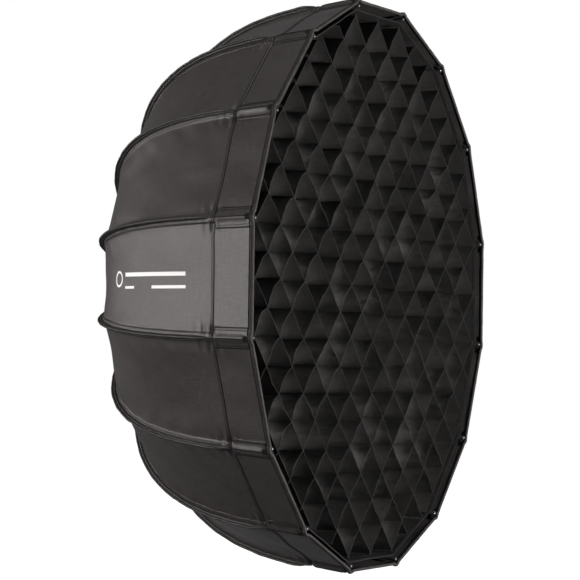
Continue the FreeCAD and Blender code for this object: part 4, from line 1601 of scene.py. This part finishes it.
    def build_band(self) -> None:
        """Makes the band round the cells, with its stitched edges."""
        low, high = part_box("grid_band")
        depth = float(high.y - low.y)
        angles, within, corner = around(8)
        share = np.linspace(0.0, 1.0, 7)[:, None]
        taper = self.band_rear - self.band_front
        radius = (self.band_front + taper * share) * corner[None, :]
        radius = radius - 0.0006 * (1 + np.sin(angles * 48 + share * 5.0)) * np.cos(within * 8) ** 2
        points = radius[..., None] * spoke(angles)[None, :, :]
        points[..., 1] = low.y + (high.y - low.y) * share
        cuts = np.stack(np.broadcast_arrays(angles[None, :] * self.band_front, share * depth), -1)
        layer = lattice(points, cuts, None, True, lambda p: p * np.array([1.0, 0.0, 1.0]))
        band = layer.build("grid_band_tape", self.band_wall, [self.finishes["band_tape"]] * 2)
        rows = []
        for place in self.stitch_depths:
            reach = (self.band_front + taper * place / 0.044 - 0.0024) * corner
            line = reach[:, None] * spoke(angles)
            line[:, 1] = low.y + place
            rows.append(np.vstack([line, line[:1]]))
        stitches = self.sewing.stitches("grid_band_stitches", self.stitch, rows)
        for piece in (band, stitches):
            claim(piece, "grid", "grid_band")
        flat = (2 * RIBS * self.band_front * math.sin(HALF), depth)
        LOG.info("grid: band %.2f m round", flat[0])

    def build(self) -> None:
        """Makes the grid."""
        self.build_cells()
        self.build_band()


# ---------------------------------------------------------------- diffusers and cuff


@dataclass
class Diffusers:
    """Front diffuser behind the lip and the smaller baffle on its straps."""

    finishes: Finishes
    front_corner: float = 0.4050
    front_swell: float = 0.0012
    baffle_corner: float = 0.2615
    baffle_swell: float = 0.0010
    cloth: float = 0.0008
    hem: float = 0.015
    fold: float = 0.0008
    strap_width: float = 0.012
    strap_wall: float = 0.0009
    strap_reach: float = 0.3795
    strap_lap: float = 0.014
    strap_waist: float = 0.12

    def middle(self, solid: str) -> float:
        """Place along the axis of a solid's middle, less a hair."""
        low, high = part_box(solid)
        return (low.y + high.y) / 2 - 0.0002

    def panel(self, name: str, body: str, solid: str, corner: float, swell: float, holder: str) -> None:
        """A white panel with a dark hem.

        Args:
            name: The piece's name.
            body: The body that carries it.
            solid: The solid it stands for.
            corner: Its radius at the corners.
            swell: How far its middle stands forward of the hem.
            holder: What holds its edge; not used.
        """
        inner = corner - self.hem
        radii = [*np.linspace(inner / 14, inner, 14), inner + self.hem * 0.5, corner]
        y = self.middle(solid)

        def height(radius: np.ndarray, angle: np.ndarray) -> np.ndarray:
            """Place along the axis.

            Args:
                radius: Distance from the axis.
                angle: Angle from up.

            Returns:
                The place.
            """
            share = np.clip(radius / inner, 0.0, 1.0)
            folds = self.fold * np.sin(angle * RIBS * 1.0 + share * 3.0) * smooth(0.55, 1.0, share)
            return y - swell * (1 - share**2) + folds * (1 - smooth(0.96, 1.0, share))

        layer = disc(radii, height, 6, 2)
        finishes = ("diffuser_cloth", "elastic_strap", "diffuser_cloth")
        piece = layer.build(name, self.cloth, [self.finishes[finish] for finish in finishes])
        claim(piece, body, solid)
        layer.area()

    def straps(self) -> None:
        """Elastic straps from the baffle to the rods."""
        y = self.middle("inner_baffle")
        start = self.baffle_corner - self.strap_lap
        parts = []
        for number in range(RIBS // 2):
            angle = rib_angle(1 + 2 * number)
            along, side = spoke(angle), spoke(angle + math.pi / 2)
            reach = np.linspace(start, self.strap_reach, 16)[:, None, None]
            across = np.linspace(-0.5, 0.5, 5)[None, :, None] * self.strap_width
            narrow = 1 - self.strap_waist * np.sin(np.linspace(0.0, math.pi, 16))[:, None, None]
            points = reach * along + across * narrow * side + (y - self.strap_wall) * REAR
            cuts = np.concatenate(np.broadcast_arrays(across, reach), -1)
            layer = lattice(points, cuts, None, False, lambda p: np.broadcast_to(-REAR, p.shape))
            parts.append(layer.build("strap", self.strap_wall, [self.finishes["elastic_strap"]] * 2))
        piece = joined("baffle_straps", parts)
        claim(piece, "baffle", "inner_baffle")
        length = RIBS / 2 * (self.strap_reach - self.baffle_corner + self.strap_lap)

    def build(self) -> None:
        """Makes both panels and the straps."""
        front = (self.front_corner, self.front_swell)
        self.panel("front_diffuser_panel", "diffuser", "front_diffuser", *front, "gore_01_band_1")
        baffle = (self.baffle_corner, self.baffle_swell)
        self.panel("baffle_panel", "baffle", "inner_baffle", *baffle, "baffle_straps")
        self.straps()
        LOG.info("diffusers: two panels and %d straps", RIBS // 2)


@dataclass
class Cuff:
    """Cloth cuff round the hub, behind the inner edge of the canopy."""

    finishes: Finishes
    sewing: Sewing
    inner: float = 0.0806
    outer: float = 0.1178
    cloth: float = 0.0009
    gather: float = 0.0007
    crinkle: float = 0.00025
    hem_roll: float = 0.0012
    sunk: float = 0.0004
    stitch: Stitch = Stitch(0.0036, 0.00045, 2.6)
    row_insets: tuple[float, float, float] = (0.004, 0.0065, 0.0317)

    def build(self) -> None:
        """Makes the cuff and its stitching."""
        _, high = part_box("rear_collar")
        columns = RIBS * 10
        angles = np.arange(columns) / columns * 2 * math.pi
        share = np.linspace(0.0, 1.0, 12)[:, None]
        radius = self.inner + (self.outer - self.inner) * share
        gather = self.gather * np.cos((angles - HALF) * RIBS)[None, :] * share
        crinkle = self.crinkle * np.sin(angles * 71)[None, :] * (1 - share)
        roll = self.hem_roll * bell(share - 0.94, 0.05)
        points = radius[..., None] * spoke(angles)[None, :, :]
        points[..., 1] = high.y - self.sunk + gather + crinkle + roll
        cuts = np.stack(np.broadcast_arrays(angles[None, :] * 0.1, radius), -1)
        layer = lattice(points, cuts, None, True, lambda p: np.broadcast_to(REAR, p.shape))
        cuff = layer.build("rear_cuff", self.cloth, [self.finishes["cuff_cloth"]] * 2)
        closed = np.append(angles, angles[0])
        rows = []
        for inset in self.row_insets:
            line = (self.inner + inset) * spoke(closed)
            gather = self.gather * np.cos((closed - HALF) * RIBS) * inset / (self.outer - self.inner)
            line[:, 1] = high.y - 0.0001 + gather
            rows.append(line)
        stitches = self.sewing.stitches("rear_cuff_stitches", self.stitch, rows)
        for piece in (cuff, stitches):
            claim(piece, "hub", "rear_collar")
        LOG.info("cuff: built")


class Hardware:
    """Solid parts that keep their shape and take a better finish."""

    FINISH = {
        "bayonet_insert": "insert_metal",
        "retaining_ring": "ring_metal",
        "hub_ring": "hub_metal",
        "pin_keeper_ring": "hub_metal",
        "hinge_pins": "pin_steel",
        "hub_screws": "screw_steel",
        "rotation_lock_knob": "knob_plastic",
        "rib_arm": "rib_socket",
        "rib_rod": "rib_rod",
    }

    def __init__(self, finishes: Finishes) -> None:
        """Keeps the finishes."""
        self.finishes = finishes

    def build(self) -> None:
        """Gives each solid its finish."""
        for name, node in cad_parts.items():
            kind = next((kind for kind in self.FINISH if name.startswith(kind)), None)
            if kind is None:
                continue
            finish = self.finishes[self.FINISH[kind]]
            for place in node.material_slots:
                place.material = finish
            if not node.material_slots:
                node.data.materials.append(finish)
        LOG.info("hardware: finished")


# ---------------------------------------------------------------- studio


@dataclass(frozen=True)
class Lamp:
    """A soft rectangular light: where it stands, the point it is aimed at, its size and its power."""

    name: str
    place: tuple[float, float, float]
    target: tuple[float, float, float]
    size: tuple[float, float]
    power: float
    colour: tuple[float, float, float] = (1.0, 0.96, 0.945)

    def build(self) -> None:
        """Puts the light in the scene, where the camera doesn't see it."""
        light = bpy.data.lights.new(self.name, "AREA")
        light.shape = "RECTANGLE"
        light.size, light.size_y = self.size
        light.energy = self.power
        light.color = self.colour
        holder = link(self.name, light)
        holder.location = self.place
        holder.visible_camera = False
        aim = Vector(self.target) - Vector(self.place)
        holder.rotation_euler = aim.to_track_quat("-Z", "Y").to_euler()


@dataclass
class Studio:
    """Pale floor, soft lights and the camera."""

    LAMPS = (
        Lamp("key", (-2.4, 1.30, 0.16), (-0.1, -0.2, 0.0), (2.0, 0.40), 72.0),
        Lamp("rear", (-0.5, 2.9, 0.30), (0.0, -0.1, 0.0), (1.2, 0.9), 22.0),
        Lamp("front", (-0.27, -2.9, -0.20), (-0.1, -0.37, 0.0), (0.35, 0.35), 185.0),
        Lamp("top", (-0.4, -0.4, 3.0), (0.0, -0.2, 0.0), (1.8, 1.8), 24.0),
    )

    floor_radius: float = 14.0
    floor_height: float = -0.424
    floor_glow: float = 0.92
    azimuth: float = math.radians(-64.071)
    elevation: float = math.radians(-1.4683)
    roll: float = math.radians(0.8427)
    distance: float = 3.8619325
    aim: tuple[float, float] = (-0.132226, -0.0065178)
    lens: float = 160.861034
    sensor: float = 36.0
    rim: float = -0.37163

    def floor(self) -> None:
        """A wide pale floor under the object."""
        mesh = bpy.data.meshes.new("floor")
        angles = [n / 32 * math.pi for n in range(64)]
        ring = [
            (self.floor_radius * math.cos(angle), self.floor_radius * math.sin(angle), self.floor_height)
            for angle in angles
        ]
        mesh.from_pydata(ring, [], [tuple(range(len(ring)))])
        shader = Shader("floor")
        clouds = shader.noise(shader.place(False), 3.0) * 0.3
        pale = shader.mixed(clouds, tone((0.90, 0.90, 0.90)), tone((0.86, 0.86, 0.86)))
        material = shader.finish(
            Base_Color=pale,
            Roughness=0.8,
            Emission_Color=WHITE,
            Emission_Strength=self.floor_glow,
        )
        mesh.materials.append(material)
        floor = link("floor", mesh)
        floor.visible_diffuse = False
        floor.visible_glossy = False

    def world(self) -> None:
        """White behind the object, and a dimmer grey for the light it gives."""
        world = bpy.data.worlds.new("studio")
        world.use_nodes = True
        graph = Graph(world.node_tree)
        graph.tree.nodes.clear()
        seen = graph.wire("ShaderNodeLightPath", {}, {}, "Is Camera Ray")
        white = graph.wire("ShaderNodeBackground", {}, {"Color": WHITE, "Strength": 1.0})
        grey = graph.wire("ShaderNodeBackground", {}, {"Color": (0.95, 0.97, 1.0, 1.0), "Strength": 0.10})
        mixed = graph.wire("ShaderNodeMixShader", {}, {0: seen, 1: grey, 2: white})
        graph.node("ShaderNodeOutputWorld", {}, {"Surface": mixed})
        bpy.context.scene.world = world

    def camera(self) -> None:
        """The camera at its fixed place."""
        a, e = self.azimuth, self.elevation
        back = Vector((math.sin(a) * math.cos(e), -math.cos(a) * math.cos(e), math.sin(e)))
        right = (-back).cross(Vector((0.0, 0.0, 1.0))).normalized()
        up = right.cross(-back)
        target = Vector((0.0, self.rim, 0.0)) + self.aim[0] * right + self.aim[1] * up
        level = math.cos(self.roll) * right + math.sin(self.roll) * up
        top = -math.sin(self.roll) * right + math.cos(self.roll) * up
        data = bpy.data.cameras.new("camera")
        data.lens = self.lens
        data.sensor_width = self.sensor
        data.clip_end = 60.0
        camera = link("camera", data)
        matrix = camera.matrix_world.copy()
        place = target + back * self.distance
        for row in range(3):
            matrix[row] = (level[row], top[row], back[row], place[row])
        camera.matrix_world = matrix
        bpy.context.scene.camera = camera

    def build(self) -> None:
        """Sets up the whole studio."""
        self.floor()
        self.world()
        for lamp in self.LAMPS:
            lamp.build()
        self.camera()
        bpy.context.scene.view_settings.view_transform = "Standard"
        LOG.info("studio: ready")


def main() -> None:
    """Builds the softbox's looks, in order."""
    logging.basicConfig(level=logging.INFO, format="%(name)s: %(message)s")
    Studio().build()
    finishes = Finishes()
    sewing = Sewing(finishes)
    Hardware(finishes).build()
    Canopy(finishes, sewing).build()
    Grid(finishes, sewing).build()
    Diffusers(finishes).build()
    Cuff(finishes, sewing).build()


if __name__ == "__main__":
    main()
